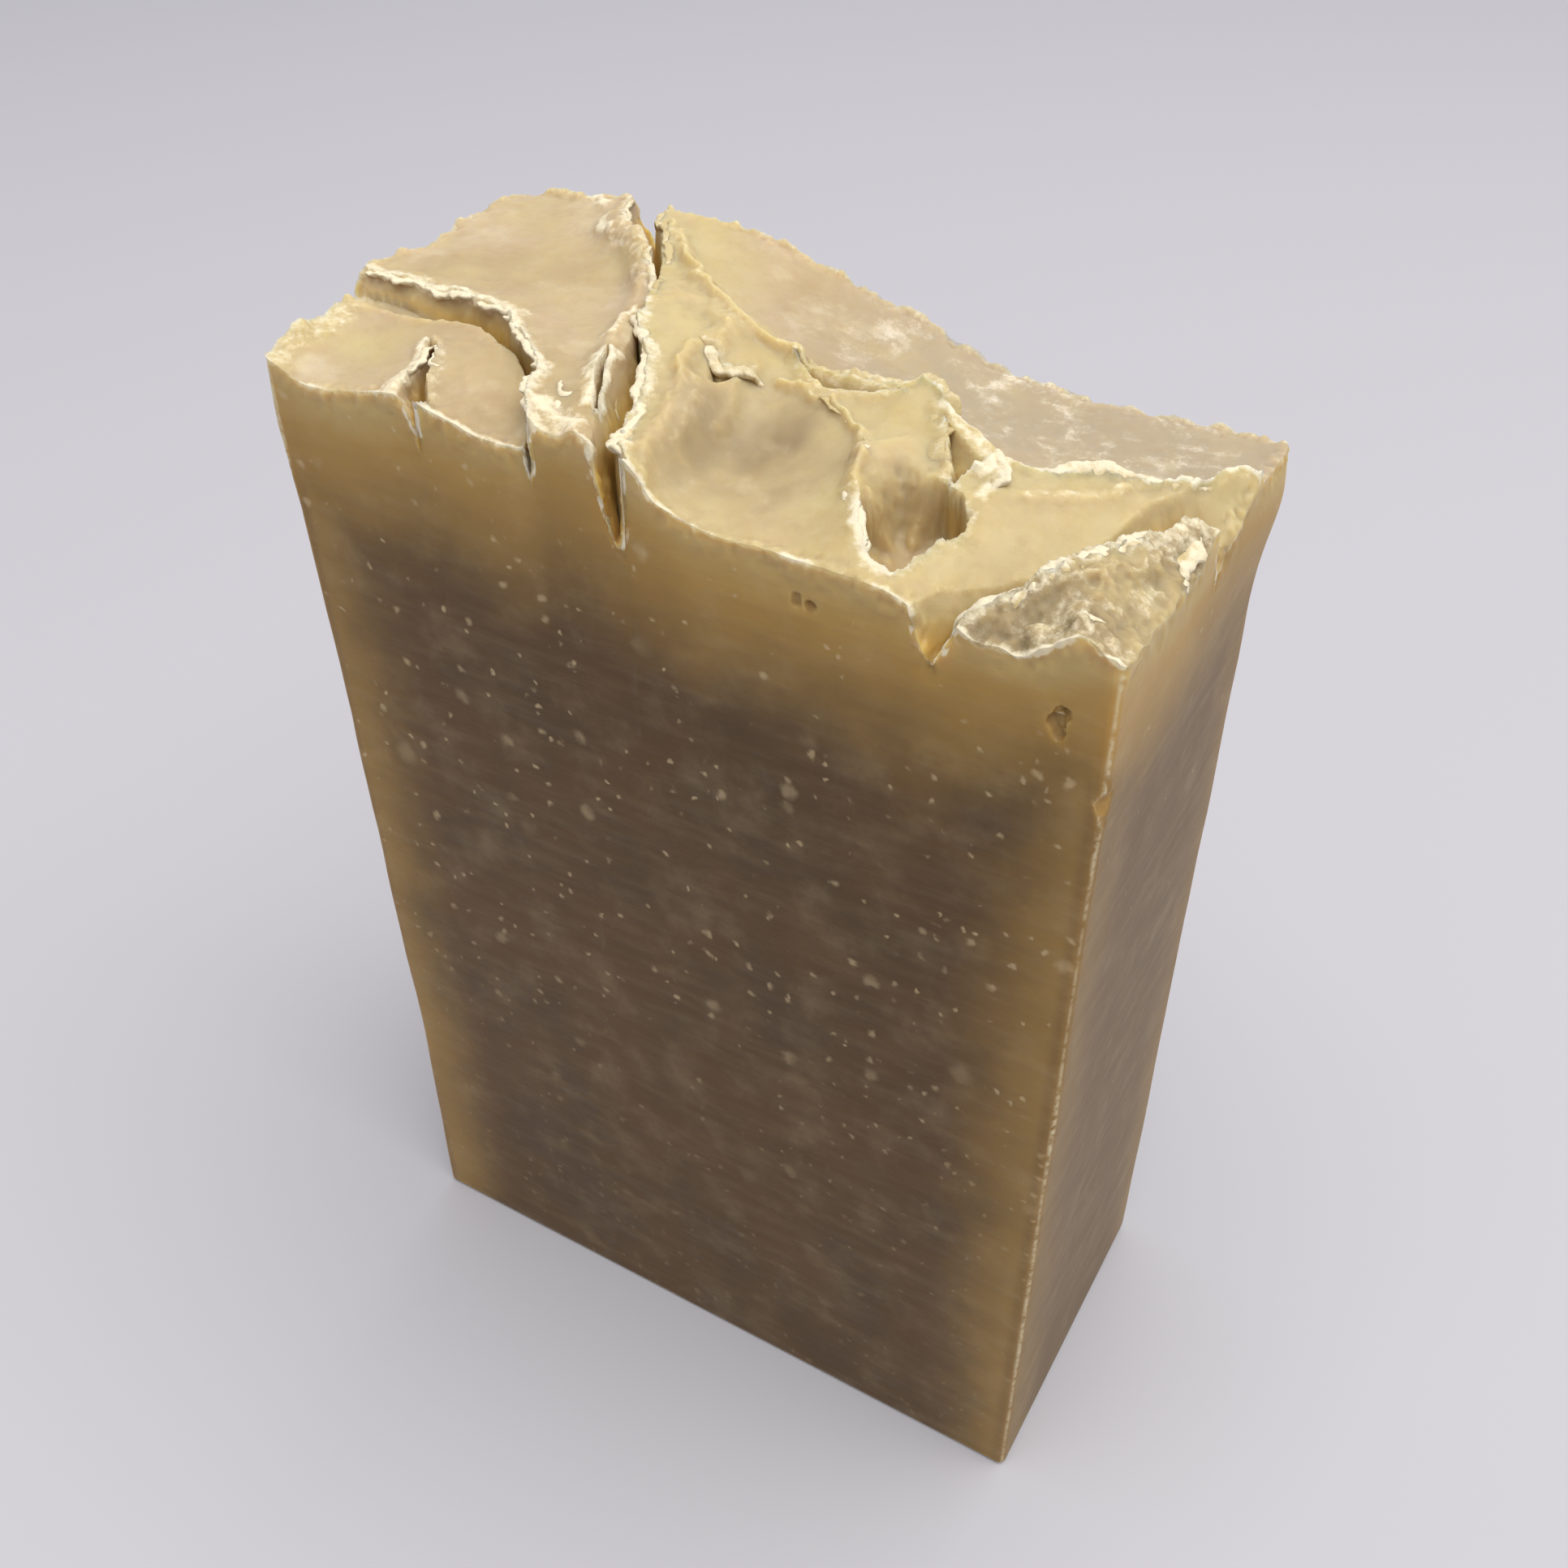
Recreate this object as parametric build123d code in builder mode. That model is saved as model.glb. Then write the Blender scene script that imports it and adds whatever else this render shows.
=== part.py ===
"""A shampoo bar: one slice of soap, cut from a tall loaf, with its torn and folded top.

The slice stands on its flat moulded bottom. Its front and back are cut faces and its
left and right sides are mould faces. The top is the open side of the loaf, where the
stiff soap folded, tore and set. X runs along the width, Y from front to back.
"""
import os
from math import cos, sin, tau

from build123d import *

os.makedirs("parts", exist_ok=True)

# Driving sizes, in millimetres
bar_width = 60.0
bar_depth = 28.6
shoulder_height = 71.0
crown_height = 20.0
back_dish = 0.9
edge_radius = 0.7
lip_radius = 1.0
chip_radius = 1.9
pit_radius = 0.9
overrun = 2.0
oval_sides = 8

half_width = bar_width / 2
half_depth = bar_depth / 2
full_height = shoulder_height + crown_height

# The cut back face is slightly dished: share of the dish, share of the full height
back_profile_shares = ((0.45, 0.0), (0.2, 0.2), (0.7, 0.42), (1.0, 0.66), (0.85, 0.82), (0.0, 0.9))

# The top is drawn in slices from front to back. Each starts with its share of the half depth.
# Its points, as shares of the half width and of the crown, follow the same lines in every
# slice, from the left: the low front plate, the arc crack (rim, floor, rim), the left plate,
# the main crack (rim, floor, rim), the fold, the dish, the two ridges with their groove, the
# right plate, the slot (rim, floor, rim) and the loose flake at the front right corner.
top_slice_shares = (
    (-1.0, (
        (-1.0, 0.82), (-0.92, 0.755), (-0.70, 0.795),
        (-0.31, 0.755), (-0.285, 0.68), (-0.267, 0.865),
        (-0.223, 0.83), (-0.173, 0.825),
        (-0.133, 0.84), (-0.087, 0.51), (-0.04, 0.725),
        (0.0, 0.705), (0.067, 0.685),
        (0.133, 0.655), (0.217, 0.655), (0.30, 0.66),
        (0.367, 0.652), (0.40, 0.642), (0.45, 0.648),
        (0.483, 0.643), (0.517, 0.646), (0.537, 0.64),
        (0.553, 0.61), (0.613, 0.445), (0.667, 0.58),
        (0.733, 0.57), (0.91, 0.71), (1.0, 0.625),
    )),
    (-0.8, (
        (-1.0, 0.86), (-0.87, 0.775), (-0.71, 0.81),
        (-0.363, 0.80), (-0.347, 0.67), (-0.33, 0.88),
        (-0.293, 0.86), (-0.243, 0.83),
        (-0.20, 0.85), (-0.137, 0.545), (-0.113, 0.78),
        (-0.073, 0.75), (0.0, 0.72),
        (0.067, 0.68), (0.167, 0.67), (0.333, 0.69),
        (0.40, 0.72), (0.433, 0.695), (0.50, 0.68),
        (0.547, 0.68), (0.573, 0.67), (0.60, 0.65),
        (0.643, 0.60), (0.693, 0.435), (0.723, 0.67),
        (0.773, 0.665), (0.883, 0.68), (1.0, 0.61),
    )),
    (-0.6, (
        (-1.0, 0.855), (-0.87, 0.79), (-0.70, 0.83),
        (-0.437, 0.83), (-0.42, 0.66), (-0.40, 0.90),
        (-0.353, 0.885), (-0.297, 0.845),
        (-0.243, 0.875), (-0.16, 0.58), (-0.143, 0.83),
        (-0.10, 0.80), (-0.033, 0.75),
        (0.033, 0.695), (0.133, 0.68), (0.287, 0.71),
        (0.35, 0.76), (0.383, 0.73), (0.45, 0.72),
        (0.517, 0.71), (0.607, 0.71), (0.667, 0.665),
        (0.733, 0.61), (0.783, 0.42), (0.807, 0.715),
        (0.853, 0.70), (0.927, 0.67), (1.0, 0.60),
    )),
    (-0.42, (
        (-1.0, 0.865), (-0.90, 0.82), (-0.75, 0.83),
        (-0.567, 0.84), (-0.553, 0.66), (-0.52, 0.92),
        (-0.46, 0.90), (-0.33, 0.86),
        (-0.287, 0.895), (-0.187, 0.61), (-0.167, 0.865),
        (-0.12, 0.85), (-0.053, 0.79),
        (0.017, 0.715), (0.117, 0.695), (0.267, 0.73),
        (0.327, 0.79), (0.367, 0.76), (0.433, 0.75),
        (0.517, 0.73), (0.60, 0.75), (0.70, 0.695),
        (0.787, 0.625), (0.833, 0.405), (0.86, 0.715),
        (0.90, 0.70), (0.947, 0.66), (1.0, 0.595),
    )),
    (-0.28, (
        (-1.0, 0.915), (-0.975, 0.895), (-0.94, 0.87),
        (-0.867, 0.845), (-0.80, 0.76), (-0.65, 0.935),
        (-0.55, 0.91), (-0.347, 0.875),
        (-0.307, 0.91), (-0.227, 0.65), (-0.20, 0.895),
        (-0.147, 0.885), (-0.08, 0.82),
        (0.0, 0.745), (0.11, 0.725), (0.253, 0.76),
        (0.31, 0.81), (0.35, 0.79), (0.433, 0.795),
        (0.507, 0.77), (0.60, 0.78), (0.733, 0.71),
        (0.823, 0.64), (0.867, 0.395), (0.887, 0.71),
        (0.92, 0.70), (0.957, 0.655), (1.0, 0.595),
    )),
    (-0.1, (
        (-1.0, 0.93), (-0.933, 0.915), (-0.85, 0.905),
        (-0.767, 0.902), (-0.683, 0.905), (-0.60, 0.915),
        (-0.50, 0.90), (-0.363, 0.885),
        (-0.32, 0.92), (-0.277, 0.73), (-0.257, 0.92),
        (-0.20, 0.92), (-0.107, 0.88),
        (-0.027, 0.79), (0.087, 0.765), (0.173, 0.81),
        (0.227, 0.825), (0.283, 0.81), (0.417, 0.82),
        (0.483, 0.80), (0.583, 0.765), (0.677, 0.755),
        (0.863, 0.65), (0.907, 0.39), (0.93, 0.695),
        (0.95, 0.68), (0.973, 0.645), (1.0, 0.60),
    )),
    (0.07, (
        (-1.0, 0.92), (-0.90, 0.91), (-0.80, 0.904),
        (-0.70, 0.902), (-0.60, 0.904), (-0.50, 0.90),
        (-0.44, 0.895), (-0.38, 0.905),
        (-0.35, 0.935), (-0.332, 0.90), (-0.315, 0.94),
        (-0.25, 0.93), (-0.12, 0.91),
        (-0.053, 0.84), (0.017, 0.82), (0.06, 0.825),
        (0.10, 0.82), (0.167, 0.78), (0.217, 0.85),
        (0.41, 0.78), (0.533, 0.68), (0.733, 0.70),
        (0.883, 0.68), (0.933, 0.40), (0.96, 0.60),
        (0.975, 0.57), (0.987, 0.55), (1.0, 0.54),
    )),
    (0.28, (
        (-1.0, 0.91), (-0.90, 0.907), (-0.81, 0.903),
        (-0.717, 0.902), (-0.633, 0.905), (-0.55, 0.91),
        (-0.483, 0.915), (-0.43, 0.93),
        (-0.387, 0.95), (-0.365, 0.70), (-0.353, 0.945),
        (-0.283, 0.95), (-0.15, 0.88),
        (-0.067, 0.83), (0.017, 0.81), (0.067, 0.785),
        (0.133, 0.765), (0.20, 0.75), (0.317, 0.73),
        (0.40, 0.68), (0.567, 0.625), (0.80, 0.62),
        (0.90, 0.70), (0.945, 0.53), (0.96, 0.48),
        (0.975, 0.45), (0.987, 0.435), (1.0, 0.425),
    )),
    (0.56, (
        (-1.0, 0.925), (-0.90, 0.92), (-0.817, 0.918),
        (-0.733, 0.925), (-0.667, 0.93), (-0.617, 0.935),
        (-0.577, 0.945), (-0.543, 0.96),
        (-0.50, 0.965), (-0.46, 0.69), (-0.44, 0.96),
        (-0.367, 0.95), (-0.25, 0.90),
        (-0.133, 0.84), (-0.033, 0.80), (0.05, 0.76),
        (0.133, 0.725), (0.217, 0.69), (0.30, 0.66),
        (0.40, 0.63), (0.60, 0.60), (0.833, 0.605),
        (0.93, 0.65), (0.95, 0.643), (0.965, 0.628),
        (0.977, 0.616), (0.989, 0.61), (1.0, 0.60),
    )),
    (1.0, (
        (-1.0, 0.895), (-0.933, 0.915), (-0.883, 0.925),
        (-0.833, 0.935), (-0.793, 0.945), (-0.76, 0.95),
        (-0.733, 0.96), (-0.687, 0.985),
        (-0.643, 1.0), (-0.58, 0.775), (-0.56, 0.965),
        (-0.517, 0.965), (-0.347, 0.95),
        (-0.217, 0.91), (-0.10, 0.875), (0.0, 0.81),
        (0.10, 0.775), (0.20, 0.72), (0.30, 0.67),
        (0.40, 0.645), (0.60, 0.625), (0.833, 0.612),
        (0.90, 0.608), (0.93, 0.612), (0.95, 0.61),
        (0.97, 0.614), (0.985, 0.611), (1.0, 0.615),
    )),
)

# Small cracks are wedges. A station holds the left rim, the right rim (shares of the half
# width and half depth), the rim and floor heights (crown shares) and the floor's place between.
leaf_crack_shares = (
    (-0.73, -0.56, -0.72, -0.55, 0.84, 0.81, 0.5),
    (-0.69, -0.61, -0.66, -0.58, 0.83, 0.70, 0.6),
    (-0.68, -0.72, -0.635, -0.70, 0.82, 0.67, 0.7),
    (-0.66, -0.84, -0.58, -0.84, 0.81, 0.65, 0.7),
    (-0.62, -1.04, -0.53, -1.04, 0.80, 0.63, 0.6),
)
side_crack_shares = (
    (-0.29, -0.42, -0.28, -0.42, 0.88, 0.81, 0.5),
    (-0.275, -0.56, -0.235, -0.56, 0.87, 0.71, 0.6),
    (-0.24, -0.69, -0.205, -0.70, 0.87, 0.71, 0.6),
    (-0.215, -0.77, -0.20, -0.76, 0.87, 0.79, 0.5),
)
small_crack_tables = (leaf_crack_shares, side_crack_shares)

# The hollow under the tongue: its rim seen from above, then levels (crown share, size share)
hollow_rim_shares = (
    (0.33, -0.385), (0.355, -0.595), (0.41, -0.77), (0.487, -0.93), (0.56, -0.78),
    (0.603, -0.58), (0.553, -0.42), (0.487, -0.31), (0.40, -0.265),
)
hollow_centre_share = (0.473, -0.60)
hollow_level_shares = ((1.1, 1.0), (0.74, 1.0), (0.61, 0.86), (0.45, 0.42))

# The hooded curl and the tongues over the hollow: place (half width, half depth and crown
# shares), then the half width and the half thickness there as shares of the lip radius
curl_shares = (
    (-0.16, 0.20, 0.925, 1.2, 1.6), (-0.105, 0.11, 0.925, 1.3, 1.3), (-0.085, 0.0, 0.90, 1.2, 1.2),
    (-0.10, -0.09, 0.885, 1.0, 1.2), (-0.085, -0.15, 0.855, 0.6, 0.8),
)
tongue_shares = (
    (0.28, 0.06, 0.855, 1.6, 1.4), (0.36, -0.04, 0.865, 2.2, 1.2), (0.42, -0.16, 0.845, 1.8, 1.0),
    (0.465, -0.27, 0.81, 1.2, 0.8), (0.503, -0.37, 0.77, 0.5, 0.5),
)
back_tongue_shares = (
    (0.38, 0.08, 0.82, 1.1, 1.6), (0.45, -0.01, 0.82, 1.4, 1.6), (0.52, -0.11, 0.805, 1.4, 1.6),
    (0.58, -0.19, 0.79, 1.1, 1.6),
)
knob_shares = (
    (0.625, -0.20, 0.79, 1.6, 2.0), (0.58, -0.26, 0.79, 1.6, 1.6), (0.54, -0.315, 0.775, 1.1, 1.1),
    (0.51, -0.35, 0.755, 0.5, 0.6),
)
tongue_tables = (curl_shares, tongue_shares, back_tongue_shares, knob_shares)

# Chipped front right edge and small pits in the front face: X, Y and crown shares
edge_chip_share = (1.02, -0.95, 0.15)
face_pit_shares = ((0.89, -1.01, 0.36), (0.90, -1.01, 0.41), (0.36, -1.01, 0.515))


def place(x_share, y_share, crown_share):
    """A point of the crown from its shares of the half width, half depth and crown height."""
    return Vector(x_share * half_width, y_share * half_depth, shoulder_height + crown_share * crown_height)


def faceted_solid(rings):
    """A solid skinned with small flat faces from ring to ring of points, its end rings closed."""
    outlines = [rings[0], rings[-1]]
    for ring, next_ring in zip(rings, rings[1:]):
        for step, corner in enumerate(ring):
            last_corner, far_corner, last_far_corner = ring[step - 1], next_ring[step], next_ring[step - 1]
            if (last_corner - far_corner).length < (corner - last_far_corner).length:
                outlines.append((last_corner, corner, far_corner))
                outlines.append((last_corner, far_corner, last_far_corner))
            else:
                outlines.append((last_corner, corner, last_far_corner))
                outlines.append((corner, far_corner, last_far_corner))
    return Solid(Shell([Face(Wire.make_polygon(outline)) for outline in outlines]))


def torn_block():
    """A block under the torn top. It runs past the bar on every side but the top."""
    aside = Vector(overrun, 0, 0)
    behind = Vector(0, overrun, 0)
    rings = []
    for y_share, row in top_slice_shares:
        points = [place(x_share, y_share, height) for x_share, height in row]
        points = [points[0] - aside, *points, points[-1] + aside]
        left_foot, right_foot = [Vector(end.X, end.Y, -overrun) for end in (points[0], points[-1])]
        rings.append([left_foot, *points, right_foot])
    rings.insert(0, [point - behind for point in rings[0]])
    rings.append([point + behind for point in rings[-1]])
    return faceted_solid(rings)


def crack_wedge(stations):
    """A tapering wedge along a crack, open at the top."""
    up = Vector(0, 0, crown_height)
    rings = []
    for left_x, left_y, right_x, right_y, rim, floor, floor_share in stations:
        left_rim = place(left_x, left_y, rim)
        right_rim = place(right_x, right_y, rim)
        bottom = left_rim + (right_rim - left_rim) * floor_share + up * (floor - rim)
        rings.append([left_rim, bottom, right_rim, right_rim + up, left_rim + up])
    return faceted_solid(rings)


def tongue(stations):
    """A torn tongue: many-sided ovals set square to its run, with their tops at its heights."""
    centres = []
    for x_share, y_share, height, _, thick_share in stations:
        centres.append(place(x_share, y_share, height) - Vector(0, 0, thick_share * lip_radius))
    rings = []
    for index, (_, _, _, wide_share, thick_share) in enumerate(stations):
        along = centres[min(index + 1, len(centres) - 1)] - centres[max(index - 1, 0)]
        oval = Plane(origin=centres[index], x_dir=along.cross(Vector(0, 0, 1)), z_dir=along)
        ring = []
        for turn in range(oval_sides):
            angle = tau * turn / oval_sides
            wide = cos(angle) * wide_share * lip_radius
            thick = sin(angle) * thick_share * lip_radius
            ring.append(oval.from_local_coords(Vector(wide, thick, 0)))
        rings.append(ring)
    return faceted_solid(rings)


def hollow_cut():
    """The hollow that narrows downwards from its torn rim."""
    centre_x, centre_y = hollow_centre_share
    rings = []
    for level, size in hollow_level_shares:
        ring = []
        for x_share, y_share in hollow_rim_shares:
            ring_x = centre_x + (x_share - centre_x) * size
            ring_y = centre_y + (y_share - centre_y) * size
            ring.append(place(ring_x, ring_y, level))
        rings.append(ring)
    return faceted_solid(rings)


# The slice drawn from the side: plain front, bottom and top, dished back
with BuildPart() as slab:
    with BuildSketch(Plane.YZ):
        with BuildLine():
            back_curve = Spline(*[
                (half_depth - dish_share * back_dish, height_share * full_height)
                for dish_share, height_share in back_profile_shares
            ])
            Polyline(
                back_curve @ 1,
                (half_depth, full_height + overrun),
                (-half_depth, full_height + overrun),
                (-half_depth, 0),
                back_curve @ 0,
            )
        make_face()
    extrude(amount=half_width, both=True)
    fillet(slab.edges().filter_by(Axis.Z), edge_radius)

block = torn_block()
cracks = [crack_wedge(stations) for stations in small_crack_tables]
tongues = [tongue(stations) for stations in tongue_tables]
hollow_part = hollow_cut()

with BuildPart() as soap_bar:
    add(block)
    add(slab.part, mode=Mode.INTERSECT)

    # The small cracks and the hollow, then the curl and the tongues that reach over it
    add(cracks + [hollow_part], mode=Mode.SUBTRACT)
    add(tongues)

    # The chipped edge and the pits of the front face
    with Locations(place(*edge_chip_share)):
        Sphere(chip_radius, mode=Mode.SUBTRACT)
    with Locations([place(*share) for share in face_pit_shares]):
        Sphere(pit_radius, mode=Mode.SUBTRACT)

soap_bar.part.label = "soap_bar"
export_step(soap_bar.part, "parts/soap_bar.step")
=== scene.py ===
import bpy
import numpy as np
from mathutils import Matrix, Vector


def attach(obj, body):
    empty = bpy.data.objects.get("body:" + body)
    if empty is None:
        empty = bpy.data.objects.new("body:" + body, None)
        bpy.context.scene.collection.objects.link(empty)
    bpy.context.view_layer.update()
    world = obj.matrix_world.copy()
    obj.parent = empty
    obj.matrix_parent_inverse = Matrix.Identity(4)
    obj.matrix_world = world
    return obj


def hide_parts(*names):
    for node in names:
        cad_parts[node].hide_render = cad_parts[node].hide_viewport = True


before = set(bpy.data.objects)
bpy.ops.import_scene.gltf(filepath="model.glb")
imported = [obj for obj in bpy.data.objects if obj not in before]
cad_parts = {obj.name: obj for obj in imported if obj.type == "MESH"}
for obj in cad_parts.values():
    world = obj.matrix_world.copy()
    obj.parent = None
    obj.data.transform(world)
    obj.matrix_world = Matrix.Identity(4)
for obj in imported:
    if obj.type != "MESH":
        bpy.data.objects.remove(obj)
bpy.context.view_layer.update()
print("frame loaded")

mm = 0.001  # every size below is in millimetres, and the mesh is in metres


def ease(low, high, value):
    # 0 below low, 1 above high, and 3t^2 - 2t^3 between them
    t = np.clip((value - low) / (high - low), 0, 1)
    return t * t * (3 - 2 * t)


def bell(distance, width):
    # a round hump: e to the minus (distance / width) squared
    return np.exp(-(distance / width) ** 2)


def grain(x, y, size, seed):
    # random heights from -1 to 1 on a square lattice of this size, blended by 3t^2 - 2t^3
    table = np.pad(np.random.default_rng(seed).uniform(-1, 1, (256, 256)), (0, 1), mode="wrap")
    gx, gy = x / size + 128, y / size + 128
    ix, iy = np.floor(gx).astype(int), np.floor(gy).astype(int)
    tx, ty = ease(0, 1, gx - ix), ease(0, 1, gy - iy)
    ix, iy = ix % 256, iy % 256
    low = table[ix, iy] * (1 - tx) + table[ix + 1, iy] * tx
    high = table[ix, iy + 1] * (1 - tx) + table[ix + 1, iy + 1] * tx
    return low * (1 - ty) + high * ty


def rough(x, y, size, seed, layers=3):
    # layers of grain, each half as wide and half as high as the one before it
    return sum(grain(x, y, size / 2 ** k, seed + k) / 2 ** k for k in range(layers))


def lumps(place, size, seed):
    # random values from -1 to 1 on a cubic lattice of this size, blended by 3t^2 - 2t^3
    table = np.random.default_rng(seed).uniform(-1, 1, (64, 64, 64))
    cell = place / size + 512
    corner = np.floor(cell).astype(int)
    t = ease(0, 1, cell - corner)
    value = 0
    for step in np.ndindex(2, 2, 2):
        i, j, k = ((corner + step) % 64).T
        value = value + table[i, j, k] * np.prod(np.where(step, t, 1 - t), axis=1)
    return value


def plate(rows, x, y):
    # a thin plate bent close to points: a plane plus the sum of weight * r^2 * log r^2, where the
    # slack lets it pass a little beside them
    px, py, pz = np.array([(px, py, pz) for py, row in rows for px, pz in row], float).T
    count, slack = len(px), 5.0

    def bend(ax, ay, bx, by):
        squared = (ax - bx) ** 2 + (ay - by) ** 2
        return squared * np.log(squared + 1e-9)

    pull = bend(px[:, None], py[:, None], px, py) + np.eye(count) * slack
    flat = np.stack([np.ones(count), px, py], 1)
    system = np.block([[pull, flat], [flat.T, np.zeros((3, 3))]])
    weights = np.linalg.solve(system, np.append(pz, [0, 0, 0]))
    z = weights[count] + weights[count + 1] * x + weights[count + 2] * y
    for k in range(count):
        z = z + weights[k] * bend(x, y, px[k], py[k])
    return z


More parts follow.
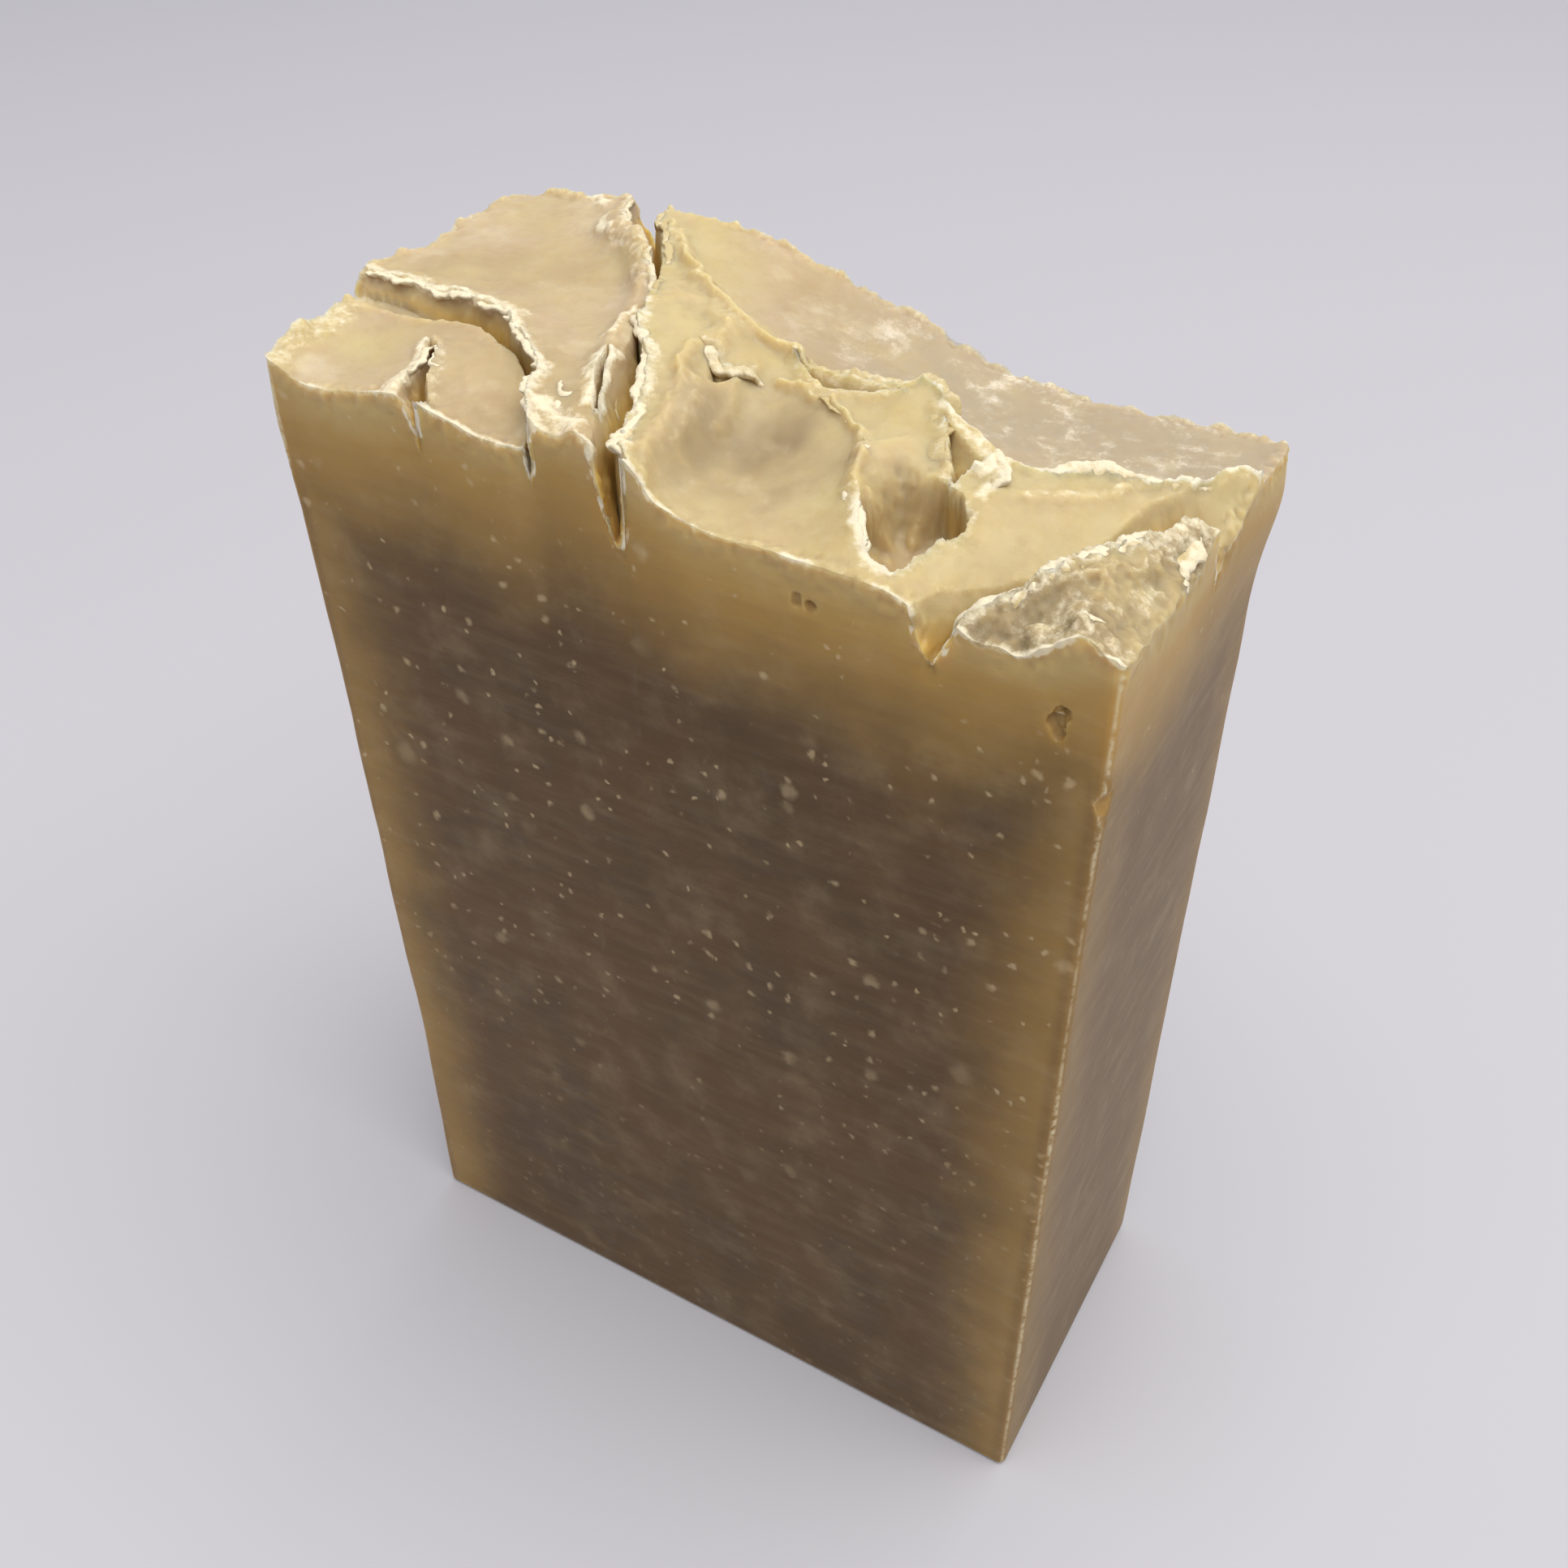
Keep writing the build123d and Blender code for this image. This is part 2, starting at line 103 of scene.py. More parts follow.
# The five plates of the torn top and the floor of its hollow, each a smooth sheet through heights
# read off the real bar, as rows: y, and (x, z) along it
plates = {
    "frontLeft": [
        (-14.3, [(-30, 87.5), (-28.4, 87.0), (-27.4, 86.2), (-25.3, 86.2), (-23, 86.6), (-19, 87.4),
                 (-16, 86.8), (-13.6, 86.2), (-12, 85.9), (-9.3, 86.1)]),
        (-11.4, [(-30, 88.2), (-26.1, 86.5), (-21.3, 87.2)]), (-11, [(-16, 87.4)]), (-11.4, [(-12.5, 86.7)]),
        (-8.6, [(-30, 88.1)]), (-9, [(-28, 87.2), (-26, 86.6)]), (-8.6, [(-21.8, 87.6)]), (-8, [(-17, 87.8)]),
        (-8.6, [(-13.5, 87.4)]), (-6.2, [(-30, 88.3)]), (-6, [(-27, 87.5), (-22.5, 87.6)]),
        (-6.3, [(-17, 87.9)]), (-4.6, [(-30, 88.4), (-24, 87.8)]),
    ],
    "left": [
        (-14.3, [(-4.4, 87.5), (-6.7, 87.6)]), (-11.4, [(-9.9, 88.5), (-7.6, 88)]),
        (-8.6, [(-12, 88.9), (-9.5, 88.3)]), (-6, [(-15.6, 89.1)]), (-5, [(-12, 88.7)]), (-4, [(-10, 88.9)]),
        (-3.6, [(-19.5, 89.3)]), (-3, [(-15, 88.9)]), (-1.4, [(-30, 89.6), (-28, 89.3)]),
        (-2, [(-25.5, 89.1)]), (-1.4, [(-20.5, 89.1)]), (-1, [(-15, 88.8)]),
        (-4, [(-30, 89.6)]), (-3.4, [(-24, 89.2)]),
        (-1, [(-11.5, 88.8)]), (2.9, [(-30, 89.1)]), (1, [(-24, 89.1), (-18, 89), (-12.5, 88.9)]),
        (7.6, [(-30, 89.5)]), (6, [(-24, 89.2)]), (5, [(-18, 89.1)]), (4, [(-14, 89.2)]), (10, [(-26, 89.4)]),
        (9.5, [(-21, 89.6)]), (8.5, [(-18, 89.8)]), (8, [(-16.5, 89.9)]), (11.9, [(-30, 89.5)]),
        (14.3, [(-30, 88.9), (-26.8, 89.5), (-22.3, 90.1), (-20.1, 90.5)]), (13, [(-18.5, 90.6)]),
    ],
    "back": [
        (14.3, [(-16.8, 90.3), (-13.8, 90.4), (-10.4, 90), (-7.7, 89.6), (-5.1, 88.8), (-2.5, 88.3),
                (-0.5, 87.3), (2.1, 86.9), (4.6, 85.9), (7.8, 84.7),
                (11.5, 83.9), (19.8, 83.5), (30, 83.3)]),
        (8.6, [(-13.2, 90.3)]),
        (8, [(-11, 90.1), (-7.5, 89), (-4, 87.8), (-1, 87), (1.5, 86.2), (4, 85.5), (6.5, 84.8), (9, 84.2),
             (12, 83.6), (18, 83), (25, 83.1), (28, 83.4)]),
        (9, [(30, 83.1)]),
        (4, [(-10.4, 89.9), (-8.5, 90), (-4.5, 88.7), (-2, 87.7), (0.5, 87.1), (2, 86.6), (4, 86.1), (6, 85.6),
             (9.5, 85), (12, 84.3), (17, 83.3), (24, 83.3)]),
        (5, [(27, 83.5)]), (1.7, [(3, 86.5)]), (1.8, [(6, 86.2)]), (2.9, [(10, 85.4)]), (0, [(13, 85)]),
        (-1, [(16, 84.4)]), (-2, [(18, 84.3)]), (-1.3, [(20, 84.1)]), (1.2, [(22, 83.8)]),
    ],
    "middle": [
        (8.6, [(-13.2, 90.3)]), (14, [(-16.4, 90.3)]), (10, [(-10, 89.8)]),
        (4, [(-10.4, 89.9), (-8.5, 90.1), (-4.5, 88.9), (-2, 87.8)]),
        (1, [(-9.4, 89.8), (-7.5, 89.7), (-5.4, 89.2), (-3.6, 89.2), (-1.6, 87.9), (0.5, 87.4)]),
        (1.6, [(1.8, 87.4)]), (1.5, [(3, 87.5), (5, 87.4), (7, 87.4)]), (1.6, [(9.5, 88)]),
        (2.6, [(9.8, 88.4)]), (1.5, [(11.5, 88.2)]), (0, [(13, 87.4)]),
        (-1.4, [(-7.7, 89.4), (-6, 89.4), (-3.2, 88.5), (-0.8, 86.9), (2.6, 86.5)]), (-1.7, [(5.2, 87.1)]),
        (-1.4, [(6.8, 87.4), (8.5, 87.3), (12.5, 87.5), (14.5, 87)]), (-2.2, [(17.5, 86.5)]),
        (-1.6, [(20.3, 86.1)]), (0.9, [(23, 85.7)]), (-1, [(25.9, 84.6)]), (2.7, [(26, 85.2)]),
        (6, [(28, 84.6)]),
        (-4, [(-6, 88.9), (-4.4, 88.7), (-2.4, 87.4), (0, 85.9), (3.3, 85.4), (7.6, 86.1), (9.3, 87.2),
              (10.5, 86.9)]),
        (-3.5, [(13, 86.9)]), (-4.5, [(15.2, 86.4)]), (-4, [(18, 86.4), (22, 85.4), (24.7, 84)]),
        (-6, [(-5, 88.3), (-3.6, 88), (-1.6, 86.7), (0.5, 85.2), (3.5, 84.8), (8, 85.6), (9.8, 86.8)]),
        (-6.2, [(18, 86)]), (-6, [(21, 85), (23.6, 83.7)]),
        (-8.6, [(-4.3, 87.6), (-3, 87), (-1, 86), (1, 84.8), (4, 84.5), (8.6, 85.1), (10.5, 86.2),
                (18.4, 85.2), (20, 84.4), (22, 83.3)]),
        (-11.4, [(-3.4, 86.6), (-2.2, 86.1), (0, 85.3), (2, 84.6), (5, 84.4), (10, 84.8), (12.4, 85.6),
                 (17, 84.4), (18, 84.1), (19.3, 83.2)]),
        (-14.3, [(-1.2, 85.5), (0, 85.1), (2, 84.7), (4, 84.1), (6.5, 84.1), (9, 84.2), (11, 84),
                 (13.5, 83.9), (16, 83.8), (17, 83.3)]),
    ],
    "flake": [
        (-14.3, [(20.2, 82.7), (22, 82.4), (24.7, 82.2), (26.1, 83.7), (27.3, 85), (28.9, 84.1), (30, 83.5)]),
        (-11.6, [(21.7, 84.4)]), (-11.4, [(23.2, 84.3)]), (-12.5, [(25, 83.6)]),
        (-11.4, [(26.5, 84.6), (30, 83.2)]), (-8.6, [(24.2, 85.2), (25.6, 85), (27.8, 84.4), (30, 83)]),
        (-6, [(25.8, 85.3), (27, 85), (28.4, 84.2), (30, 82.9)]),
        (-4, [(26.8, 85.2), (27.6, 85), (28.7, 84.1), (30, 82.9)]), (-1.6, [(28, 84.9)]),
        (-1.2, [(28.6, 84.6)]), (-1.4, [(29.3, 83.9)]), (-1.6, [(30, 83.1)]),
    ],
    "hollow": [
        (-11.2, [(14.5, 80.6)]), (-9.2, [(15.8, 80.9)]), (-8, [(16.9, 81.4)]), (-9.4, [(13.2, 82)]),
        (-8, [(12.2, 83.2)]), (-6.4, [(11, 85)]), (-7, [(13.6, 82.9)]), (-5, [(12.6, 85.3)]),
        (-6.4, [(15.2, 82.6)]), (-13, [(14.6, 81.6)]), (-10.8, [(13, 82.6)]), (-5, [(10, 86.6)]),
    ],
}

# The cracks. Each runs along its own angle. Rim a is above the wall that shows, rim b hides the
# floor. Floor gives heights along it, share the floor's place between the rims, bow and rise the
# curves of the two walls (rise is 0.45 where it isn't given), and front all three where the crack
# opens to the front face. Lip, lipWidth, pale and hang are the height, width, paleness and overhang
# of the frayed lips of a and b.
cracks = {
    "arc": {
        "turn": -45, "share": 0.8, "bow": 0.8, "ragged": (0.22, 0.12), "seed": 11,
        "a": [(-31, -4.1), (-30, -4), (-26, -3.2), (-22, -3.1), (-18, -3.6), (-17, -4.1), (-16, -5.4),
              (-14, -6.7), (-12, -8), (-11.2, -9.2), (-10.6, -11), (-9.4, -12.8), (-7.9, -14.8)],
        "b": [(-31, -6.2), (-30, -6), (-25.5, -5.3), (-22, -5), (-20.5, -4.7), (-19, -5.2), (-17.6, -5.9),
              (-16, -6.4), (-14, -7.7), (-13, -8.6), (-12, -10), (-10.4, -12), (-8.6, -14.8)],
        "floor": [(-31, -5.4, 88.1), (-27.5, -5, 87.5), (-24.5, -4.7, 86.9), (-21.5, -4.7, 86),
                  (-18, -5.2, 84.6), (-14, -7.4, 84), (-11.5, -10, 84), (-8.3, -14.6, 84.4)],
        "lip": (0.3, 0.15), "lipWidth": (0.6, 0.4), "pale": (0.75, 0.3), "hang": (0.35, 0.1),
    },
    "leaf": {
        "turn": -61, "share": 0.6, "bow": 0.7, "front": (0.65, 2.0, 0.9), "ragged": (0.16, 0.2), "seed": 21,
        "a": [(-21.6, -7.9), (-21, -8.6), (-20.6, -10), (-20, -12), (-19.1, -14.3), (-19, -14.8)],
        "b": [(-21.2, -7.7), (-20, -8.3), (-19, -10), (-17.6, -12), (-16.8, -13.3), (-16.2, -14.3),
              (-16, -14.8)],
        "floor": [(-21.4, -7.8, 87.4), (-20.4, -8.8, 85.6), (-19.6, -10.5, 84.6), (-18.6, -12.5, 84.2),
                  (-17.4, -14.5, 84.2)],
        "lip": (0.35, 0.4), "lipWidth": (0.6, 0.5), "pale": (0.75, 0.5), "hang": (0.1, 0.3),
    },
    "mainBack": {
        "turn": -62, "share": 0.72, "bow": 0.8, "ragged": (0.2, 0.12), "seed": 31,
        "a": [(-20.6, 15.4), (-20.1, 14.3), (-18.6, 11), (-16.7, 9.2), (-15.3, 8.3), (-13.1, 6), (-10.8, 3.5)],
        "b": [(-17.3, 15.4), (-16.8, 14.3), (-15.6, 11), (-14.5, 9.5), (-13.5, 8.4), (-12, 6.4), (-10.6, 3.7)],
        "floor": [(-18, 15, 86.4), (-16.6, 11, 85.4), (-14, 8.6, 84.8), (-12.2, 6, 85.2), (-10.9, 4, 88),
                  (-10.6, 3.6, 89.4)],
        "lip": (0.5, 0.15), "lipWidth": (0.9, 0.6), "pale": (0.55, 0.3), "hang": (0.1, 0.3),
    },
    "mainFront": {
        "turn": -66, "share": 0.9, "bow": 1.4, "front": (0.52, 0.8, 2.2), "ragged": (0.12, 0.26), "seed": 41,
        "a": [(-9.9, 0.6), (-8.9, -2), (-8.3, -3.4), (-8.1, -4.5), (-7.7, -6), (-7.1, -8.5), (-6, -10.8),
              (-5, -12.5), (-3.9, -14.3), (-3.7, -14.8)],
        "b": [(-9.6, 0.6), (-8.2, -2), (-6.8, -3.8), (-5.5, -5.3), (-4.9, -7.4), (-4, -10), (-3.2, -12.3),
              (-2, -13.6), (-1.3, -14.3), (-1.1, -14.8)],
        "floor": [(-9.7, 0.4, 88.6), (-8.3, -2, 85.8), (-6.8, -4, 84), (-5.6, -6, 83.2), (-4.8, -8.6, 82.6),
                  (-4, -11.4, 81.9), (-2.4, -14.5, 81.2)],
        "lip": (0.0, 0.35), "lipWidth": (0.6, 0.9), "pale": (0.3, 0.65), "hang": (0.0, 0.35),
    },
    "side": {
        "turn": -62, "share": 0.7, "bow": 0.7, "ragged": (0.15, 0.12), "seed": 51,
        "a": [(-8.75, -5.6), (-8.2, -7.4), (-7.6, -8.8), (-6.9, -10), (-6.1, -11.1)],
        "b": [(-8.6, -5.6), (-7.6, -7.4), (-6.9, -8.7), (-6.3, -9.8), (-5.9, -11)],
        "floor": [(-8.6, -5.7, 88.4), (-7.9, -7.4, 86.2), (-7, -9, 85.6), (-6.2, -10.6, 86), (-6, -11, 87.4)],
        "lip": (0.35, 0.2), "lipWidth": (0.5, 0.5), "pale": (0.8, 0.9), "hang": (0.25, 0.0),
    },
    "groove": {
        "turn": -8, "share": 0.82, "bow": 0.8, "ragged": (0.12, 0.1), "seed": 71,
        "a": [(0.6, 2.2), (2, 1.35), (4, 1.15), (6, 1), (8, 0.7), (9.4, 0.5)],
        "b": [(0.6, 2.1), (2.2, 0.7), (4, 0.05), (6, -0.05), (7.6, -0.5), (9.4, 0.4)],
        "floor": [(0.6, 2.1, 87.4), (2.2, 0.9, 86.3), (4, 0.3, 86), (6.6, 0, 86.1), (8.4, 0, 86.8),
                  (9.4, 0.4, 87.6)],
        "lip": (0.3, 0.35), "lipWidth": (0.4, 0.45), "pale": (0.5, 0.5), "hang": (0.1, 0.25),
    },
    "tongueGap": {
        "turn": -50, "share": 0.7, "bow": 0.8, "ragged": (0.12, 0.14), "seed": 75,
        "a": [(12.8, -1), (14.2, -1.8), (15.4, -2.6), (16.6, -3.4), (16.3, -4.2), (15.7, -5.2)],
        "b": [(12.7, -1.2), (13.5, -2.4), (14.2, -3.6), (15, -4.7), (15.5, -5.3)],
        "floor": [(12.8, -1.1, 87), (13.8, -2.2, 85.9), (14.8, -3.4, 85.1), (15.5, -4.6, 84.6),
                  (15.7, -5.3, 84.4)],
        "lip": (0.15, 0.3), "lipWidth": (0.5, 0.6), "pale": (0.4, 0.5), "hang": (0.0, 0.25),
    },
    "pocket": {
        "turn": 17, "share": 0.4, "bow": 0.8, "rise": 0.8, "ragged": (0.15, 0.1), "seed": 77,
        "a": [(-4.3, -1), (-3.4, -1.1), (-2.6, -1.8), (-2, -2.1), (-1.4, -1.4), (-0.7, -0.8)],
        "b": [(-4.3, -1.2), (-3.6, -2.2), (-2.8, -3.5), (-2, -4.2), (-1.4, -3.2), (-0.7, -1)],
        "floor": [(-4.2, -1.1, 88.7), (-3.5, -1.7, 87.9), (-2.6, -2.6, 86.9), (-1.9, -3, 86.6),
                  (-1.3, -2.2, 86.7), (-0.7, -0.9, 86.9)],
        "lip": (0.35, 0.0), "lipWidth": (0.8, 0.5), "pale": (0.5, 0.0), "hang": (0.2, 0.0),
    },
    "slot": {
        "turn": 59, "share": 0.8, "bow": 1.1, "front": (0.5, 0.8, 1.5), "ragged": (0.14, 0.42), "seed": 81,
        "a": [(16.4, -15.2), (17, -14.3), (20, -10.6), (22.5, -8.3), (23.8, -6), (24.7, -4), (25.6, -1),
              (26.4, 1.8), (27.9, 4.4), (29, 6.9), (30.5, 9.4)],
        "b": [(19.4, -15.2), (19.9, -14), (20.6, -12.8), (21.6, -11.9), (23.8, -10), (24.6, -8), (25.9, -6),
              (26.8, -4), (27.9, -2), (28.6, -0.4), (31.5, 1.2), (33.5, 6)],
        "floor": [(18, -15, 79.9), (18.6, -14.3, 80), (21, -11.4, 80.6), (23.6, -8.6, 81), (25.4, -5, 81),
                  (27.2, -1.4, 80.6), (28.6, 2.4, 80.2), (30, 5.4, 79.4), (31, 7.6, 80.6)],
        "lip": (0.1, 0.3), "lipWidth": (0.8, 0.9), "pale": (0.3, 1.3), "hang": (0.0, 0.25),
    },
}


def crackLines(crack, x, y):
    # p runs along the crack and q across it, and each rim is q as a function of p, with its
    # corners rounded by an average over a short stretch
    turn = np.radians(crack["turn"])

    def turned(ax, ay):
        return ax * np.cos(turn) + ay * np.sin(turn), ay * np.cos(turn) - ax * np.sin(turn)

    p, q = turned(x, y)
    rims = []
    for side, wobble, seed in zip("ab", crack["ragged"], (crack["seed"], crack["seed"] + 5)):
        rimP, rimQ = turned(*np.array(crack[side], float).T)
        rim = sum(np.interp(p + step, rimP, rimQ) for step in (-0.4, -0.2, 0, 0.2, 0.4)) / 5
        slope = (np.interp(p + 0.4, rimP, rimQ) - np.interp(p - 0.4, rimP, rimQ)) / 0.8
        frayed = grain(x, y, 2.4, seed) + 0.7 * grain(x, y, 1.2, seed + 1)
        rims.append((rim + wobble * frayed, np.hypot(1, slope), rimQ.mean(), rimP[0], rimP[-1]))
    (rimA, slantA, middleA, first, last), (rimB, slantB, middleB, *_) = rims
    floorX, floorY, floorZ = np.array(crack["floor"], float).T
    floor = np.interp(p, turned(floorX, floorY)[0], floorZ)
    way = np.sign(middleB - middleA)  # 1 where rim b has the larger q, and -1 where rim a has
    pastA = -(q - rimA) * way / slantA  # mm outside rim a
    pastB = (q - rimB) * way / slantB  # mm outside rim b
    ends = bell(np.maximum(0, np.maximum(first - p, p - last)), 0.35)
    across = np.array([-np.sin(turn), np.cos(turn)]) * way
    return pastA, pastB, floor, ends, across


# Torn strips and folds that stand on the plates: height and width in mm, paleness, and the line
ridges = [
    (0.15, 1.2, 0.8, [(-8.6, -12.2), (-7.2, -12.8), (-5.6, -13.4)]),
    (0.3, 0.7, 0.85, [(-23.6, 14.2), (-22.4, 13.6), (-21.4, 12.9)]),
    (0.35, 0.55, 0.85, [(-19.6, 10.2), (-19.1, 9.2), (-18.2, 8.4)]),
    (0.25, 0.9, 0.5, [(-17.6, 8), (-16, 7.4), (-14.4, 6.2), (-12.8, 4.4), (-11.4, 2.4)]),
    (0.2, 0.5, 0.7, [(-10.4, 0.4), (-10.2, -1.6), (-9.8, -4)]),
    (0.6, 0.4, 0.4, [(1, -0.4), (2.6, -0.6), (4.6, -1.3), (6.8, -2.4), (8.6, -3.7), (9.4, -5),
                     (9.9, -7), (10.4, -8.8)]),
    (0.45, 1.7, 0.1, [(-14.4, 9.5), (-12.6, 7.2), (-9.6, 3.6), (-6, 1), (-3.6, 0.6)]),
    (0.5, 0.9, 0.35, [(-6.2, 3.6), (-4.6, 2.4), (-3.2, 1.6)]),
    (-0.7, 1.0, 0.0, [(-6.6, 1.4), (-5.2, 0.4)]),
    (0.7, 0.6, 0.2, [(-4.6, -2.4), (-3.4, -5), (-2.8, -8), (-1.6, -11), (-0.6, -13.6)]),
    (0.5, 0.45, 0.3, [(-2.6, -4.6), (-1.4, -7.4), (-0.8, -10)]),
    (0.35, 0.5, 0.2, [(-0.9, -2.6), (-0.1, -4.4), (0.2, -6.4)]),
    (0.4, 0.6, 0.7, [(12, 0.2), (13.6, -0.6), (15.2, -1.6), (17, -2.6)]),
    (0.55, 0.75, 1.0, [(17.4, -3.1), (16.6, -4), (15.9, -4.6)]),
    (0.3, 0.8, 0.8, [(17.6, -3.4), (17.9, -4.8), (17.8, -5.8)]),
    (0.35, 0.6, 0.5, [(19.6, -4.6), (21.4, -3), (23, -1.4), (24.6, 0.2)]),
    (0.4, 0.8, 0.7, [(22, -10.4), (23.4, -10.6), (25.4, -9.6), (27, -7.4)]),
    (0.5, 0.7, 0.9, [(24.6, -13.4), (25.8, -12.6), (27.2, -12.4)]),
    (0.3, 0.5, 0.8, [(26.6, -9), (27.8, -6.4), (28.6, -3.4)]),
]

# Lines and places on the torn top: the step from the back plate up to the ridge, the crest along
# the fold's back edge, the hollow's rim, its middle and the angle (in radians) of its gentle wall,
# and the dish and the golden spot (a painted golden shade in the front-left plate's dip), which are
# ovals with a middle and two half sizes
layout = {
    "step": [
        (-3, 4.4), (-1, 3.3), (0.5, 2.5), (3, 1.7), (6, 1.7), (9.2, 1.7), (9.7, 2.6), (10.2, 2.4), (11.3, 2),
        (12, 1), (13, 0.2), (14.5, -0.3), (16, -1), (17, -1.9), (18, -2.2), (20, -1.5), (21.5, -0.2),
        (22.2, 1.1), (23, 1), (25, 1.8), (26, 2.8), (27.5, 4.2), (28.2, 6.5), (30, 8.8)],
    "crest": [(-14, 10.4), (-11.4, 7.6), (-8.6, 5.4), (-6, 3.8), (-3.6, 2.7), (-1.4, 2.4), (1, 2.2)],
    "hollowRim": [
        (10, -6), (10.7, -8.8), (12.4, -10.6), (13, -11.9), (14.1, -13.1), (14.8, -13.5), (16, -12.4),
        (16.4, -11.6), (16.7, -10.5), (17.5, -10.2), (18.2, -8.2), (17.5, -6.5), (16.5, -6), (15.2, -5.3),
        (14, -4.6), (12, -3.9), (10.6, -4.4)],
    "hollowMiddle": (14.2, -8.4), "gentleWall": 2.35,
    "dish": (2.6, -6.8, 6.4, 6.6), "goldenShadeSpot": (-26, -9, 2.6, 2.4),
}

# The bar's body. Step is the grid's spacing, closer the extra columns in a mm at each notch (place
# and width) in the front or back edge, and wallRows how many rows of points the walls have down to
# each share of their height. Back dish and left wave are mm by height, and each pit is a ball: its
# middle, its radius and how many times as deep as wide it is.
body = {
    "width": 60.0, "depth": 28.6, "height": 90.0, "step": 0.125, "cornerRadius": 0.6, "footRadius": 0.5,
    "closer": 20.0, "notches": [(-17.8, 1.6), (-8.3, 0.6), (-2.7, 1.3), (18.4, 1.4)],
    "wallRows": [(0.012, 3), (0.2, 43), (0.985, 29), (1, 4)], "triangles": 194000, "sharpFrom": 48,
    "backDish": [(0, 0.4), (18, 0.2), (38, 0.65), (60, 0.9), (75, 0.75), (82, 0), (91, 0)],
    "leftWave": [(0, 0.1), (8, 0.3), (22, 0.75), (40, 0.4), (60, 0.3), (76, 0), (82, -0.55), (91, -0.1)],
    "pits": [
        (26.9, -14.5, 79.3, 0.6, 1.5), (26.6, -14.5, 78.6, 0.65, 1.5), (26.8, -14.5, 77.9, 0.5, 1.5),
        (10.1, -14.5, 81.4, 0.5, 1.5), (11, -14.5, 81.2, 0.5, 1.5),
        (30.8, -14.4, 75.1, 1.1, 1), (30.8, -14.3, 73.9, 1.4, 1), (30.8, -14.1, 72.9, 1.1, 1)],
}


def toLine(line, x, y):
    # distance to a line of points: the least distance to any of its runs
    nearest = np.full_like(x, 1e9)
    for (ax, ay), (bx, by) in zip(line, line[1:]):
        runX, runY = bx - ax, by - ay
        t = np.clip(((x - ax) * runX + (y - ay) * runY) / (runX ** 2 + runY ** 2), 0, 1)
        nearest = np.minimum(nearest, np.hypot(x - ax - t * runX, y - ay - t * runY))
    return nearest


def fromEdge(x, y):
    # mm in from the nearest of the bar's four sides
    return np.minimum(body["width"] / 2 - np.abs(x), body["depth"] / 2 - np.abs(y))


def oval(x, y, middleX, middleY, halfWidth, halfDepth):
    # 0 at the oval's middle and 1 on its edge
    return np.hypot((x - middleX) / halfWidth, (y - middleY) / halfDepth)


def aroundHollow(x, y):
    # the angle round the hollow's middle, mm from it, and mm outside the ragged rim, whose corners
    # are rounded by an average over a few angles
    middleX, middleY = layout["hollowMiddle"]
    rimX, rimY = np.array(layout["hollowRim"]).T
    rimTurn = np.unwrap(np.arctan2(rimY - middleY, rimX - middleX))
    rimReach = np.tile(np.hypot(rimX - middleX, rimY - middleY), 3)
    loops = np.concatenate([rimTurn - 2 * np.pi, rimTurn, rimTurn + 2 * np.pi])
    turn, away = np.arctan2(y - middleY, x - middleX), np.hypot(x - middleX, y - middleY)
    nearby = (-0.27, -0.18, -0.09, 0, 0.09, 0.18, 0.27)
    reach = sum(np.interp(turn + step, loops, rimReach) for step in nearby) / len(nearby)
    return turn, away, away - (reach + 0.35 * rough(x, y, 1.1, 91))


